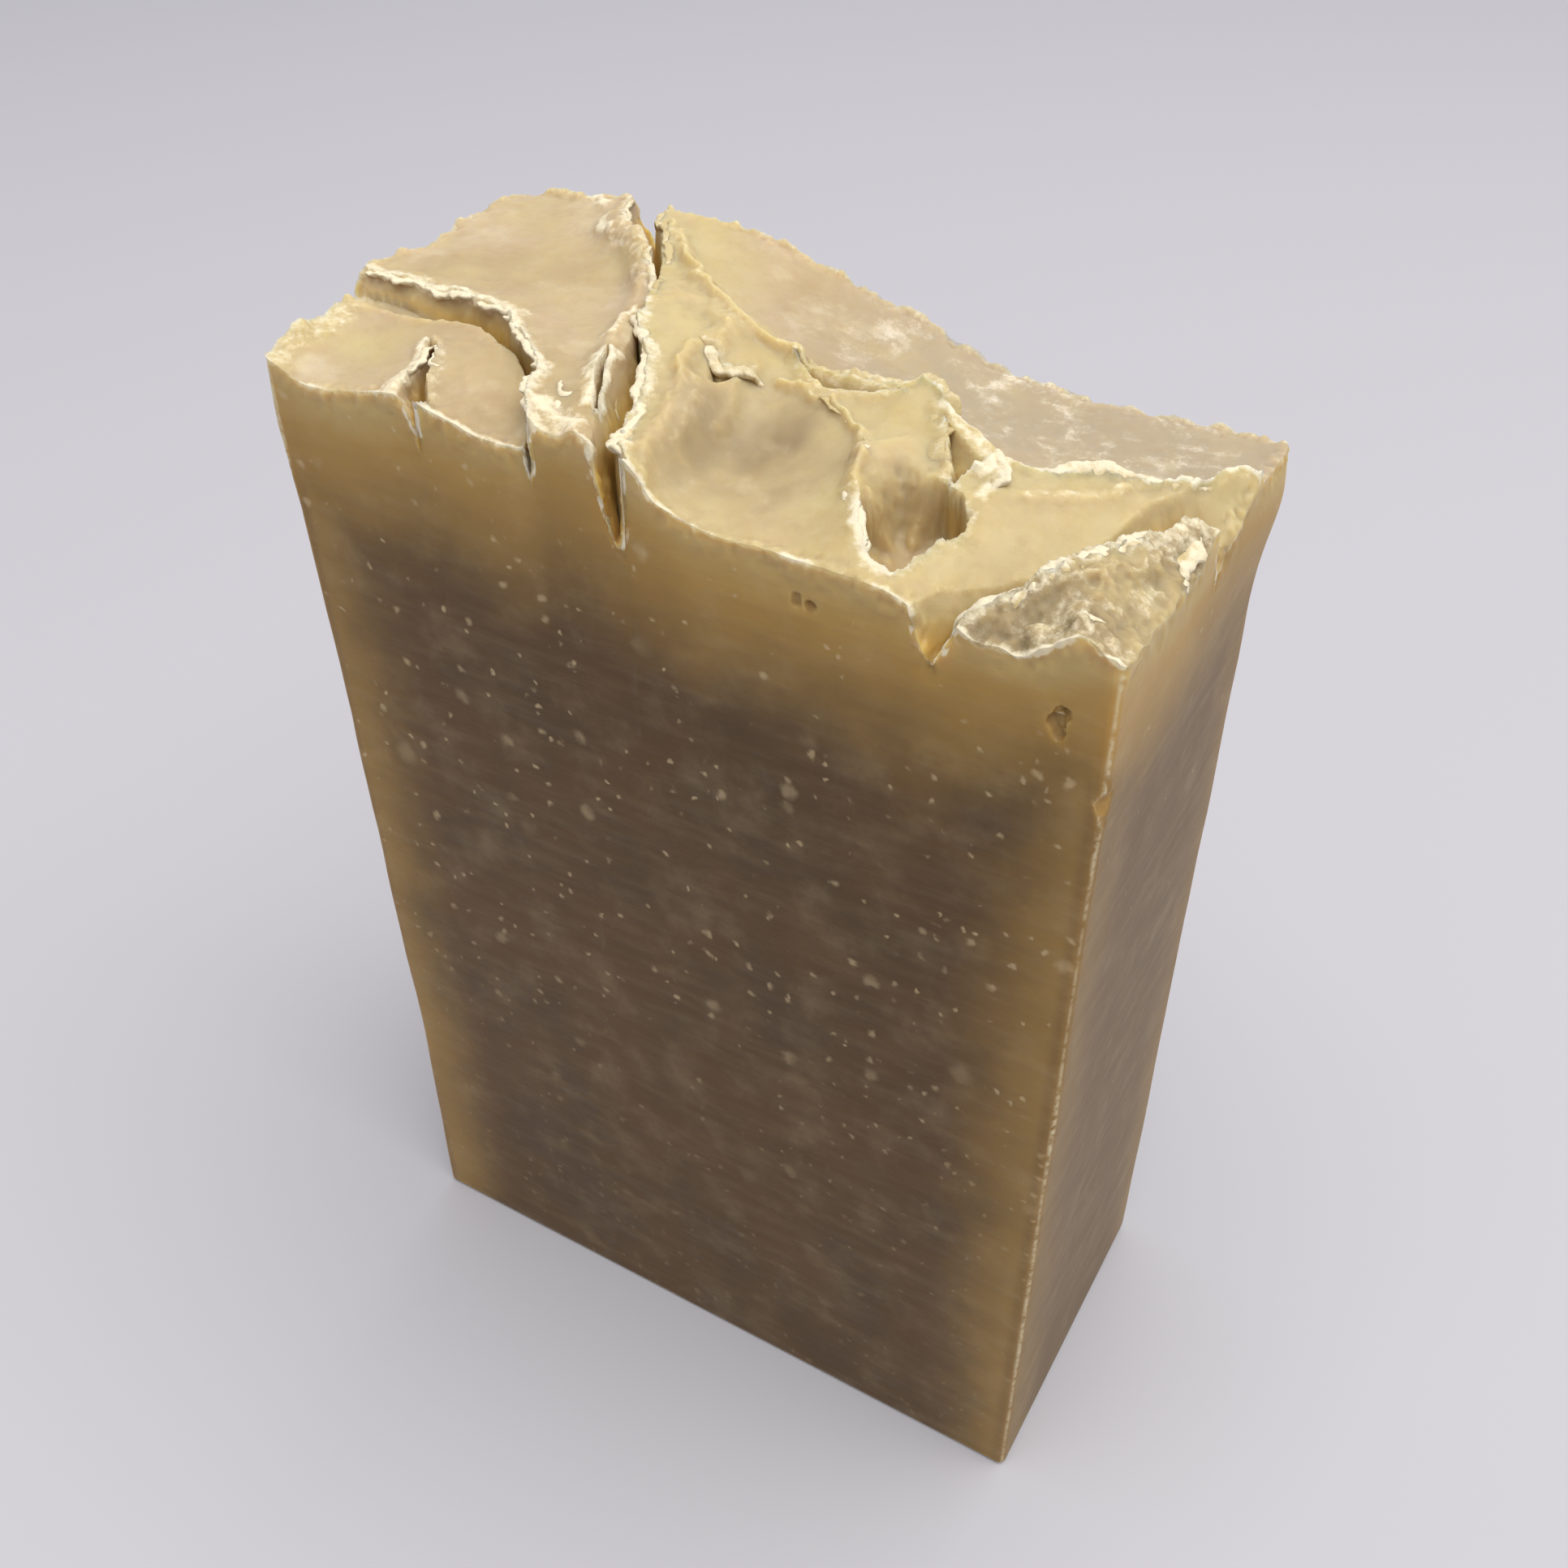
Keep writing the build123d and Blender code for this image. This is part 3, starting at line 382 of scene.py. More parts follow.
def topShape(x, y):
    # height z over the plan, with the sideways shift and the paint masks that go with it
    sheet = {name: plate(points, x, y) for name, points in plates.items()}
    lines = {name: crackLines(crack, x, y) for name, crack in cracks.items()}
    beyond = {name: line[1] > line[0] for name, line in lines.items()}  # nearer rim b than rim a
    onFlake = beyond["slot"]
    rightSide = np.where(y > 2, beyond["mainBack"], beyond["mainFront"])
    torn = np.zeros_like(x)

    # the raised flap along the main crack, and the step from the back plate to the front parts
    flap = np.minimum(lines["mainBack"][0], lines["mainFront"][0])
    flapRise = (0.6 + 0.2 * rough(x, y, 2.5, 3)) * bell(flap - 0.8, 0.85) * ease(15, 9, y)
    sheet["left"] = sheet["left"] + flapRise
    behind = y - np.interp(x, *np.array(layout["step"]).T) + 0.25 * rough(x, y, 0.8, 5)
    stepUp = ease(0.22, -0.12, behind) * ease(-4, 1, x)
    frontLip = 0.25 * bell(behind + 0.35, 0.4) * ease(1, 3, x)
    bentX, bentY = x + 0.3 * rough(x, y, 1.3, 7), y + 0.3 * rough(x, y, 1.3, 8)
    uneven = 0.8 + 0.35 * rough(x, y, 1.2, 9)
    for tall, wide, pale, line in ridges:
        away = toLine(line, bentX, bentY)
        swell = tall * bell(away, wide) * uneven
        for name in ("left", "middle", "flake"):
            sheet[name] = sheet[name] + swell
        torn = np.maximum(torn, pale * bell(away, wide * 0.9))
    right = sheet["back"] * (1 - stepUp) + (sheet["middle"] + frontLip) * stepUp
    blend = ease(5, 1, y) * ease(-1, -4, x)
    right = np.where(x < 1, right * (1 - blend) + sheet["middle"] * blend, right)
    # the fold's back edge, a soft crest that drops to the plate behind it
    crest = toLine(layout["crest"], x + 0.35 * rough(x, y, 1.5, 13), y + 0.35 * rough(x, y, 1.5, 14))
    right = right + 0.8 * bell(crest, 0.5)
    tornStep = bell(np.where(behind > 0, behind * 2.4, behind), 0.6 + 0.35 * rough(x, y, 2, 4))
    torn = np.maximum.reduce([torn, 0.4 * bell(crest, 0.45), tornStep * ease(1, 4, x)])

    # which plate each spot belongs to
    z = np.where(beyond["arc"], sheet["frontLeft"], sheet["left"])
    whole = np.where(onFlake, sheet["flake"], np.where(rightSide, right, z))

    # the torn hollow: a bowl inside a ragged rim, with a long gentle wall on the ridge's side
    turn, away, outside = aroundHollow(x, y)
    z = whole + 0.4 * bell(np.maximum(outside, 0), 0.6) * ease(13, 10, x)
    gentle = ease(0.2, 0.95, np.cos(turn - layout["gentleWall"]))
    wall = 0.5 + 0.4 * ease(13, 10, x) + 3.6 * gentle
    inside = np.maximum(ease(0, -1, outside / wall), ease(2.8, 0.6, away))
    z = np.where(outside < 0, z * (1 - inside) + np.minimum(sheet["hollow"], z) * inside, z)
    frontRim = 1 - 0.9 * gentle
    tornRim = bell(np.where(outside > 0, outside, outside * 1.5), 0.7) * frontRim
    torn = np.maximum(torn, tornRim * (1 - 0.5 * ease(14, 17, x)))
    hang = 0.35 * bell(outside - 0.1, 0.45) * frontRim
    shiftX, shiftY = -hang * np.cos(turn), -hang * np.sin(turn)

    # the cracks: raised lips, two walls down to the floor, whitened rims that lean over it
    atFront = ease(-12.2, -14, y)
    for name, crack in cracks.items():
        pastA, pastB, floor, ends, across = lines[name]
        ragged = np.clip(0.6 + 0.8 * rough(x, y, 1.5, crack["seed"] + 9), 0, 1.5)
        lipA, lipB = (
            tall * bell(np.maximum(past, 0), wide) * ends * ragged
            for tall, wide, past in zip(crack["lip"], crack["lipWidth"], (pastA, pastB)))
        z = z + np.where(pastA > pastB, lipA, lipB)
        width = np.maximum(-pastA - pastB, 0.02)
        share = np.clip(-pastA / width, 0, 1)
        inner = (crack["share"], crack["bow"], crack.get("rise", 0.45))
        foot, bow, rise = (a + (b - a) * atFront for a, b in zip(inner, crack.get("front", inner)))
        down = np.clip(share / foot, 0, 1) ** bow
        up = np.clip((share - foot) / (1 - foot), 0, 1) ** rise
        carved = np.where(share < foot, z + (floor - z) * down, floor + (z - floor) * up)
        within = (pastA < 0) & (pastB < 0) & (ends > 0.5)
        z = np.where(within, np.minimum(carved, z), z)
        spread = np.clip(1 + 0.6 * rough(x, y, 2.2, crack["seed"] + 12), 0.3, 1.8)
        sides = zip((pastA, pastB), (pastB, pastA), crack["pale"], crack["hang"], (1, -1))
        for past, other, wide, hang, way in sides:
            here, reach = ends * (past > other), wide * spread
            near = np.where(past > 0, ease(1.9 * reach, 0.3 * reach, past), bell(past, 0.4)) * here
            torn = np.maximum(torn, near * min(1, wide))
            push = 0.6 * hang * way * bell(past - 0.05, 0.4) * here
            shiftX = shiftX + push * across[0]
            shiftY = shiftY + push * across[1]

    # the fine roughness of the plates, more of it on the flake and on the crusty left and back edges
    border = fromEdge(x, y)
    z = z + onFlake * (0.25 * grain(x, y, 2.6, 98) + 0.2 * grain(x, y, 1.2, 99) + 0.1 * grain(x, y, 0.6, 100))
    z = z + 0.07 * rough(x, y, 2.4, 111) + 0.014 * rough(x, y, 0.5, 121)
    crustyRim = ease(1.1, 0.1, np.minimum(body["width"] / 2 + x, body["depth"] / 2 - y))
    z = z + 0.3 * crustyRim * rough(x, y, 1.6, 113)

    # torn is how white it is, gap how deep in a crack, and crumbly how far the crumbs stand out
    leftEdge = ease(-27.4, -29.4, x + 0.6 * rough(x, y, 1.5, 95)) * ease(-3, -5, y)
    rimCrumbs = ease(0.6, 0, y + body["depth"] / 2) * (0.75 + 0.5 * grain(x, y, 2, 96))
    whiteFlake = 0.5 * onFlake * ease(0.1, 0.7, rough(x, y, 2.6, 97))
    torn = np.maximum.reduce([torn * (1 - 0.4 * onFlake), 0.55 * leftEdge, whiteFlake, 0.9 * rimCrumbs])
    torn = np.maximum(np.clip(torn, 0, 1), 0.45 * crustyRim)
    # gap, how deep in a crack, also sets the golden glow painted into the cracks, which stands in for light
    # shining through the soap
    gap = np.clip((whole - z) / 3, 0, 1) * (1 - 0.7 * ease(27, 29.4, x))
    torn = torn * (1 - 0.85 * ease(0.35, 1.1, whole - z))
    atNotch = 1.3 * ease(0.02, 0.15, gap) * ease(1.2, 0.4, border)
    nearEdge = 0.9 * ease(1.2, 0.2, border)
    crumbly = np.maximum.reduce([
        torn, 0.9 * leftEdge, 0.9 * onFlake, 0.5 * ease(0.05, 0.4, gap), atNotch, nearEdge])

    # where the soap is creamy yellow: the folded middle and the flake, but not the dish or the plates
    dish = 0.9 * ease(1.4, 0.4, oval(x, y, *layout["dish"]))
    folded = np.where(behind > 0, ease(9, 2, lines["mainBack"][1]), 1 - 0.9 * dish)
    # golden: a painted golden shade in the dip of the front-left plate, and the cream along its left edge
    golden = np.maximum(bell(oval(x, y, *layout["goldenShadeSpot"]), 1), ease(-26.5, -29, x))
    leftCream = np.where(beyond["arc"], 0.15 + 0.8 * golden, 0.15)
    cream = np.where(onFlake, 0.35, np.where(rightSide, folded, leftCream))
    cream = np.clip(cream + 0.3 * rough(x, y, 3, 171), 0, 1)
    dish = np.maximum(dish * (1 - cream), onFlake)
    bowl = ease(0.2, -1.0, outside)
    paint = {"torn": torn, "gap": gap, "cream": cream, "crumbly": crumbly, "dish": dish, "bowl": bowl}
    return z, shiftX, shiftY, whole, paint


def barShape():
    # grid of u across and v front to back; the walls are its border, let down in rows
    rows = int(body["depth"] / body["step"]) + 1
    # columns lie closer where a crack reaches the front or the back
    even = np.linspace(-body["width"] / 2, body["width"] / 2, 6001)
    extra = sum(body["closer"] * bell(even - place, wide) for place, wide in body["notches"])
    counted = np.cumsum(1 / body["step"] + extra) * (even[1] - even[0])
    columns = int(counted[-1] - counted[0]) + 1
    u = np.interp(np.linspace(counted[0], counted[-1], columns), counted, even)
    v = np.linspace(-body["depth"] / 2, body["depth"] / 2, rows)
    x, y = np.meshgrid(u, v, indexing="ij")
    z, shiftX, shiftY, whole, paint = topShape(x, y)
    free = ease(0, 0.8, fromEdge(x, y))
    top = np.stack([x + shiftX * free, y + shiftY * free, z], -1).reshape(-1, 3)
    number = np.arange(columns * rows).reshape(columns, rows)
    ring = np.concatenate([number[:-1, 0], number[-1, :-1], number[:0:-1, -1], number[0, :0:-1]])
    rim = top[ring]
    shares, counts = zip(*body["wallRows"])
    stretches = zip((0, *shares), shares, counts)
    drop = np.concatenate([np.linspace(above, share, count + 1)[1:] for above, share, count in stretches])
    walls = np.repeat(rim[None], len(drop), 0)
    walls[:, :, 2] = rim[:, 2] * (1 - drop[:, None])
    points = np.concatenate([top, walls.reshape(-1, 3), [[0, 0, 0]]])

    def joined(onTop, onWalls, atFoot=0.0):
        # one value for each point: the top's, the walls' and the one in the middle of the bottom
        return np.concatenate([onTop.ravel(), onWalls.ravel(), [atFoot]])

    masks = {name: joined(values, np.tile(values.ravel()[ring], len(drop))) for name, values in paint.items()}
    # on the walls, the torn white keeps to the rim and to the edges of its notches
    ownTorn = np.maximum(paint["torn"].ravel()[ring], 0.95 * ease(0.02, 0.15, paint["gap"].ravel()[ring]))
    lowRim, edgeTorn = rim[:, 2], ownTorn
    for k in range(-9, 10):
        beside = np.roll(rim, k, 0)
        close = np.linalg.norm(beside[:, :2] - rim[:, :2], axis=1) < 0.35
        lowRim = np.where(close, np.minimum(lowRim, beside[:, 2]), lowRim)
        edgeTorn = np.where(close, np.maximum(edgeTorn, np.roll(ownTorn, k)), edgeTorn)
    broken = ease(-0.5, 0.25, rough(walls[:, :, 0] + walls[:, :, 1], walls[:, :, 2], 0.6, 63))
    wallTorn = broken * edgeTorn * bell(np.maximum(0, lowRim - walls[:, :, 2]), 0.3)
    masks["torn"] = joined(paint["torn"], wallTorn)
    masks["clear"] = 1 - 0.75 * masks["torn"]
    # below: depth under the rim; under: depth below the plates' own smooth rim, which the notches
    # don't pull down
    flat = np.zeros_like(z)
    plateRim = np.convolve(np.tile(whole.ravel()[ring], 3), np.ones(41) / 41, "same")[len(ring):2 * len(ring)]
    masks["crown"] = joined(flat + 1, walls[:, :, 2] * 0)
    masks["below"] = joined(flat, rim[:, 2] * drop[:, None], body["height"])
    masks["under"] = joined(flat, plateRim - walls[:, :, 2], body["height"])
    masks["crumbly"] *= np.where(masks["crown"] > 0, 1, bell(masks["below"], 1.5))
    masks["gap"] *= masks["crown"]
    loops = np.concatenate([ring[None], len(top) + np.arange(len(drop) * len(ring)).reshape(len(drop), -1)])
    after = np.roll(loops, -1, 1)
    faceSets = [
        np.stack([number[:-1, :-1], number[1:, :-1], number[1:, 1:], number[:-1, 1:]], -1).reshape(-1, 4),
        np.stack([loops[:-1], loops[1:], after[1:], after[:-1]], -1).reshape(-1, 4),
        np.stack([loops[-1], np.full(len(ring), len(points) - 1), after[-1]], -1),
    ]
    return points, faceSets, masks, z, u


def settle(points, crown):
    # the slight unevenness of the whole bar: rounded corners and foot, dished back, wavy sides
    x, y, z = points.T
    halfWidth, halfDepth, radius = body["width"] / 2, body["depth"] / 2, body["cornerRadius"]
    a = np.clip((np.abs(x) - halfWidth + radius) / radius, 0, 1)
    b = np.clip((np.abs(y) - halfDepth + radius) / radius, 0, 1)
    x = np.where(a * b > 0, np.sign(x) * (halfWidth - radius + radius * a * np.sqrt(1 - b * b / 2)), x)
    y = np.where(a * b > 0, np.sign(y) * (halfDepth - radius + radius * b * np.sqrt(1 - a * a / 2)), y)
    foot = np.clip((body["footRadius"] - z) / body["footRadius"], 0, 1)
    tuck = body["footRadius"] * (1 - np.sqrt(1 - foot * foot)) * (crown < 1)
    x = x - np.sign(x) * tuck * (np.abs(x) > halfWidth - 1)
    y = y - np.sign(y) * tuck * (np.abs(y) > halfDepth - 1)
    y = y - np.interp(z, *np.array(body["backDish"]).T) * ease(8, halfDepth, y)
    x = x + np.interp(z, *np.array(body["leftWave"]).T) * ease(-20, -halfWidth, x)
    ear = bell(z - 80, 3.2) * ease(18, halfWidth, x) * ease(4, halfDepth, y)
    x = x + 0.45 * ear
    y = y + 0.5 * ear
    # small pits and the chipped edge: what lies inside a ball is pushed back to its surface
    pit = np.zeros_like(x)
    for cx, cy, cz, ball, deep in body["pits"]:
        dx, dy, dz = x - cx, y - cy, z - cz
        far = np.sqrt(dx * dx + dy * dy / deep ** 2 + dz * dz) + 1e-9
        ball = ball * (1 + 0.12 * rough(x + y, z, 0.7, 131))
        push = np.where((far < ball) & (crown < 1), ball / far, 1)
        pit = np.maximum(pit, ease(0, 0.25, ball - far) * (crown < 1))
        x, y, z = cx + dx * push, cy + dy * push, cz + dz * push
    wave = 0.07 * rough(x + 0.7 * y, z, 9, 141) * (crown < 1) * ease(0, 2, z)
    x = x + wave * (np.abs(x) > halfWidth - 1.5) * np.sign(x)
    y = y + wave * (np.abs(y) > halfDepth - 1.5) * np.sign(y)
    return np.stack([x, y, z], 1), pit


def meshPiece(name, points, faceSets, masks):
    mesh = bpy.data.meshes.new(name)
    corners = np.concatenate([faces.ravel() for faces in faceSets])
    sizes = np.concatenate([np.full(len(faces), faces.shape[1]) for faces in faceSets])
    mesh.vertices.add(len(points))
    mesh.vertices.foreach_set("co", (points * mm).astype(np.float32).ravel())
    mesh.loops.add(len(corners))
    mesh.loops.foreach_set("vertex_index", corners.astype(np.int32))
    mesh.polygons.add(len(sizes))
    mesh.polygons.foreach_set("loop_start", (np.cumsum(sizes) - sizes).astype(np.int32))
    mesh.update(calc_edges=True)
    mesh.validate()
    for mask, values in masks.items():
        mesh.attributes.new(mask, "FLOAT", "POINT").data.foreach_set("value", values.astype(np.float32))
    mesh.shade_smooth()
    piece = bpy.data.objects.new(name, mesh)
    bpy.context.scene.collection.objects.link(piece)
    return piece


def crumble(piece, points, amount):
    # every point moves along its normal by lumps of three sizes, as far as its amount says
    normals = np.empty(len(points) * 3, np.float32)
    piece.data.vertex_normals.foreach_get("vector", normals)
    sizes = ((0.12, 1.3, 201), (0.16, 0.65, 202), (0.11, 0.36, 203))
    height = sum(tall * lumps(points, size, seed) for tall, size, seed in sizes)
    moved = points + normals.reshape(-1, 3) * (height * amount)[:, None]
    piece.data.vertices.foreach_set("co", (moved * mm).astype(np.float32).ravel())
    piece.data.update()


points, faceSets, masks, topHeights, columnX = barShape()
points, masks["pit"] = settle(points, masks["crown"])
crumbly = masks.pop("crumbly")
soapBar = meshPiece("soapBar", points, faceSets, masks)
crumble(soapBar, points, crumbly)
print("bar mesh", len(points), "points")

triangles = sum(len(faces) * (faces.shape[1] - 2) for faces in faceSets)
thin = soapBar.modifiers.new("thin", "DECIMATE")
thin.ratio = min(1, body["triangles"] / triangles)
bpy.context.view_layer.update()
thinned = bpy.data.meshes.new_from_object(soapBar.evaluated_get(bpy.context.evaluated_depsgraph_get()))
soapBar.modifiers.clear()
soapBar.data = thinned
thinned.name = "soapBar"
thinned.shade_smooth()
thinned.set_sharp_from_angle(angle=np.radians(body["sharpFrom"]))
print("bar thinned from", triangles, "to", len(thinned.polygons), "faces")

# The torn lips: slabs of paste that hang over the cracks with a scalloped edge. For each: the side
# that hangs (1 left of the way it runs, -1 right), its width in the plate and over the crack, its
# rise, half its thickness, its paleness and its line
lips = {
    "arcBack": (-1, 1.2, 0.4, 0.15, 0.3, 0.9, [
        (-30, -4.2), (-26, -3.4), (-22, -3.3), (-18, -3.8), (-17, -4.3), (-16, -5.5), (-14, -6.9), (-12, -8.2),
        (-11.2, -9.4), (-10.6, -11), (-9.4, -12.8), (-8.2, -14.2)]),
    "leafLeft": (1, 0.7, 0.3, 0.15, 0.25, 0.9, [
        (-21.6, -7.9), (-21, -8.6), (-20.6, -10), (-20, -12), (-19.1, -14.1)]),
    "leafRight": (-1, 1.0, 0.35, 0.15, 0.28, 1.0, [
        (-21.2, -7.7), (-20, -8.3), (-19, -10), (-17.6, -12), (-16.8, -13.3), (-16.3, -14.1)]),
    "leafShredOne": (-1, 0.3, 0.35, 0.3, 0.22, 1.0, [
        (-22.6, -7.5), (-21.8, -7.7), (-21, -7.2), (-20.4, -7.5)]),
    "leafShredTwo": (1, 0.25, 0.35, 0.25, 0.2, 1.0, [(-21.3, -8.6), (-21, -7.9), (-20.6, -7.5)]),
    "flap": (1, 0.8, 0.2, 0.1, 0.3, 0.75, [
        (-19.9, 14.1), (-18.6, 11.2), (-17, 9.4), (-15.6, 8.4), (-13.4, 6.1), (-11.1, 3.6), (-10.3, 1.6)]),
    "flapRight": (-1, 0.9, 0.35, 0.1, 0.3, 0.45, [
        (-16.6, 14.1), (-15.4, 11), (-14.3, 9.6), (-13.3, 8.5), (-11.8, 6.5), (-10.5, 3.9), (-9.9, 1.8)]),
    "mainRight": (-1, 1.3, 0.45, 0.15, 0.4, 0.9, [
        (-9.6, 0.4), (-8.2, -2), (-6.8, -3.8), (-5.5, -5.3), (-4.9, -7.4), (-4, -10), (-3.2, -12.3),
        (-2, -13.6), (-1.5, -14.1)]),
    "sideLeft": (1, 0.5, 0.2, 0.1, 0.22, 0.8, [(-9, -5), (-8.5, -7), (-7.9, -8.6)]),
    "sideRight": (-1, 0.9, 0.3, 0.15, 0.35, 1.0, [
        (-8.6, -4.8), (-8.1, -6.2), (-7.5, -7.4), (-6.8, -8.7), (-6.2, -10)]),
    "sideKnob": (1, 0.6, 0.4, 0.5, 0.45, 0.95, [
        (-9.6, -8.7), (-9.3, -9.8), (-8.6, -10.6), (-7.8, -10.7), (-7.2, -10)]),
    "sideLower": (1, 1.2, 0.35, 0.15, 0.35, 0.9, [(-9.6, -12), (-8.4, -11.6), (-7.2, -11.7), (-6, -11)]),
    "hood": (-1, 1.6, 0.5, 0.3, 0.45, 0.65, [
        (-4.2, -1.2), (-3.4, -1.4), (-2.7, -1.9), (-2.1, -2.3), (-1.5, -1.8), (-0.8, -1.2), (0.4, -0.8)]),
    "hoodRing": (-1, 0.5, 0.3, 0.3, 0.3, 0.6, [(-3.1, -1), (-3.5, -0.6), (-4, -0.7), (-4.3, -1.2), (-4, -1.8)]),
    "flakeTabs": (1, 1.2, 0.4, -0.5, 0.4, 0.8, [(29.3, -0.4), (29.5, -3), (29.5, -5), (29.4, -7)]),
    "ridgeBack": (1, 0.6, 0.25, 0.4, 0.25, 0.55, [(0.8, 2.2), (3, 1.5), (6, 1.5), (9.3, 1.6)]),
    "ridgeFront": (-1, 0.8, 0.2, 0.1, 0.2, 0.4, [
        (2.8, -0.7), (5, -1.5), (7, -2.5), (8.7, -3.7), (9.5, -5), (9.9, -6.6)]),
    "peak": (1, 1.2, 0.3, 0.6, 0.5, 0.45, [(8.8, 1.6), (9.8, 2.6), (10.8, 2.2), (12, 1.1), (13.4, 0.1)]),
    "tongue": (1, 1.5, 0.5, 0.5, 0.35, 0.4, [(11, 0), (12.8, -1.9), (13.8, -3.4), (14.9, -5.3)]),
    "tongueBack": (-1, 1.0, 0.4, 0.3, 0.35, 0.5, [(12.8, 0), (14.4, -0.9), (16, -1.9), (17.2, -2.8)]),
    "tongueShelf": (-1, 0.5, 0.6, 0.2, 0.3, 0.9, [(14.9, -4.5), (16, -4.4), (17, -4)]),
    "knob": (1, 0.9, 0.4, 0.5, 0.35, 0.9, [(16.4, -2.6), (17.6, -3), (18, -4), (17.6, -5.4)]),
    "hollowLeft": (1, 1.2, 0.3, 0.15, 0.4, 1.0, [
        (9.8, -4.6), (10.2, -6.4), (10.8, -8.8), (12.3, -10.7), (13, -12), (14, -13.2)]),
    "hollowRight": (1, 1.1, 0.3, 0.15, 0.38, 0.8, [
        (14.4, -13.5), (16, -12.5), (16.5, -11.6), (16.9, -10.5), (17.7, -9.9), (18.3, -8.2), (17.7, -6.4)]),
    "slotBack": (1, 1.3, 0.25, 0.5, 0.5, 0.85, [
        (17.4, -3), (18.6, -2), (20, -1.4), (21.4, 0), (22.3, 1.1), (23.2, 1.1), (25, 1.9), (26, 2.9),
        (27.4, 4.6), (28.3, 6.6), (29.5, 8.4)]),
    "flakeLeft": (1, 1.4, 0.45, 0.35, 0.5, 1.0, [
        (20, -12.9), (21.6, -11.9), (23.8, -10), (24.6, -8), (25.9, -6), (26.8, -4), (27.9, -2), (28.6, -0.8)]),
    "flakeFront": (1, 0.8, 0.35, 0.3, 0.4, 1.0, [(19.6, -13.7), (20.6, -13), (22, -13), (23.4, -12.3)]),
    "flakeMiddle": (1, 0.7, 0.3, 0.3, 0.35, 0.9, [(23.6, -11.6), (25.2, -10.8), (26.4, -9.2), (27.2, -7)]),
    "flakeLow": (1, 0.6, 0.3, 0.3, 0.35, 0.9, [(24.4, -13.7), (25.8, -12.8), (27, -12.6), (28.2, -11.4)]),
    "flakeEnd": (1, 0.6, 0.35, 0.3, 0.35, 0.9, [(28.4, -1.4), (29, -1.5), (29.8, -1.9)]),
}
lipStep = 0.09  # along a lip
lipRound = 16  # points round its section


def alongLine(line):
    # points at even steps along a line, with its corners rounded by two short averages
    line = np.array(line, float)
    run = np.append(0, np.cumsum(np.linalg.norm(np.diff(line, axis=0), axis=1)))
    s = np.linspace(0, run[-1], int(run[-1] / lipStep) + 2)
    path = np.stack([np.interp(s, run, column) for column in line.T], 1)
    for _ in range(2):
        padded = np.pad(path, ((3, 3), (0, 0)), "edge")
        path = np.stack([np.convolve(column, np.ones(7) / 7, "valid") for column in padded.T], 1)
    return path


def heightAt(x, y):
    # height of the top between its grid points, by straight blending
    columns, rows = topHeights.shape
    u = np.clip(np.interp(x, columnX, np.arange(columns)), 0, columns - 1.001)
    v = np.clip((y / body["depth"] + 0.5) * (rows - 1), 0, rows - 1.001)
    i, j = u.astype(int), v.astype(int)
    s, t = u - i, v - j
    near = topHeights[i, j] * (1 - s) + topHeights[i + 1, j] * s
    far = topHeights[i, j + 1] * (1 - s) + topHeights[i + 1, j + 1] * s
    return near * (1 - t) + far * t



def lipShape(side, inner, over, rise, thick, pale, line, seed):
    # across: middle + half width * cos t, and height over the top: rise u^2 - sink (1 - u) +
    # thick (sin t - 0.9), with u from 0 at the buried edge to 1 at the free one; the free width
    # swells and shrinks, and the ends close to a point
    path = alongLine(line)
    along = np.gradient(path, axis=0)
    along /= np.linalg.norm(along, axis=1)[:, None]
    outX, outY = -side * along[:, 1:], side * along[:, :1]
    s = np.arange(len(path)) * lipStep
    closing = np.sqrt(ease(0, 1.4, s) * ease(0, 1.4, s[-1] - s))

    def swell(size, seed):
        return grain(s, np.zeros_like(s), size, seed)

    free = over * (1 + 0.9 * swell(1.5, seed) + 0.5 * swell(0.7, seed + 1) + 0.2 * swell(0.3, seed + 2))
    t = np.linspace(0, 2 * np.pi, lipRound, endpoint=False)
    u = (np.cos(t) + 1) / 2
    across = closing[:, None] * ((free - inner)[:, None] / 2 + (free + inner)[:, None] / 2 * np.cos(t))
    lift = rise * (1 + 0.6 * swell(2.2, seed + 3))[:, None] * u ** 2 - 0.35 * (1 - u)
    height = closing[:, None] * (lift + thick * (np.sin(t) - 0.9)) - 0.6 * (1 - closing[:, None])
    # each point stands on the top below it, and past the rim on the top at the rim
    hold = np.minimum(across, -min(0.6, 0.6 * inner))
    height = height + heightAt(path[:, :1] + outX * hold, path[:, 1:] + outY * hold)
    section = np.stack([path[:, :1] + outX * across, path[:, 1:] + outY * across, height], -1)
    flat = section[1:-1].reshape(-1, 3)
    shake = [0.12 * lumps(flat, 0.55, seed + k) + 0.07 * lumps(flat, 0.28, seed + k + 3) for k in (5, 6, 7)]
    flat = flat + np.stack(shake, 1) * np.repeat(closing[1:-1], lipRound)[:, None]
    count = len(path) - 2
    number = np.arange(count * lipRound).reshape(count, lipRound)
    after = np.roll(number, -1, 1)
    quads = np.stack([number[:-1], number[1:], after[1:], after[:-1]], -1).reshape(-1, 4)
    first, last = np.full(lipRound, count * lipRound), np.full(lipRound, count * lipRound + 1)
    fans = np.concatenate([
        np.stack([first, number[0], after[0]], -1), np.stack([last, after[-1], number[-1]], -1)])
    if side > 0:  # the faces look outwards on either side
        quads, fans = quads[:, ::-1], fans[:, ::-1]
    points = np.concatenate([flat, section[[0, -1]].mean(1)])
    torn = np.append(np.tile(pale * ease(0.1, 0.75, u), count), [0, 0])
    # the underside takes the painted golden glow of the cracks, which stands in for light shining through the
    # soap into its shade
    gap = np.append(np.tile(0.5 * ease(0.2, -0.8, np.sin(t)), count), [0, 0])
    return points, quads, fans, torn, gap


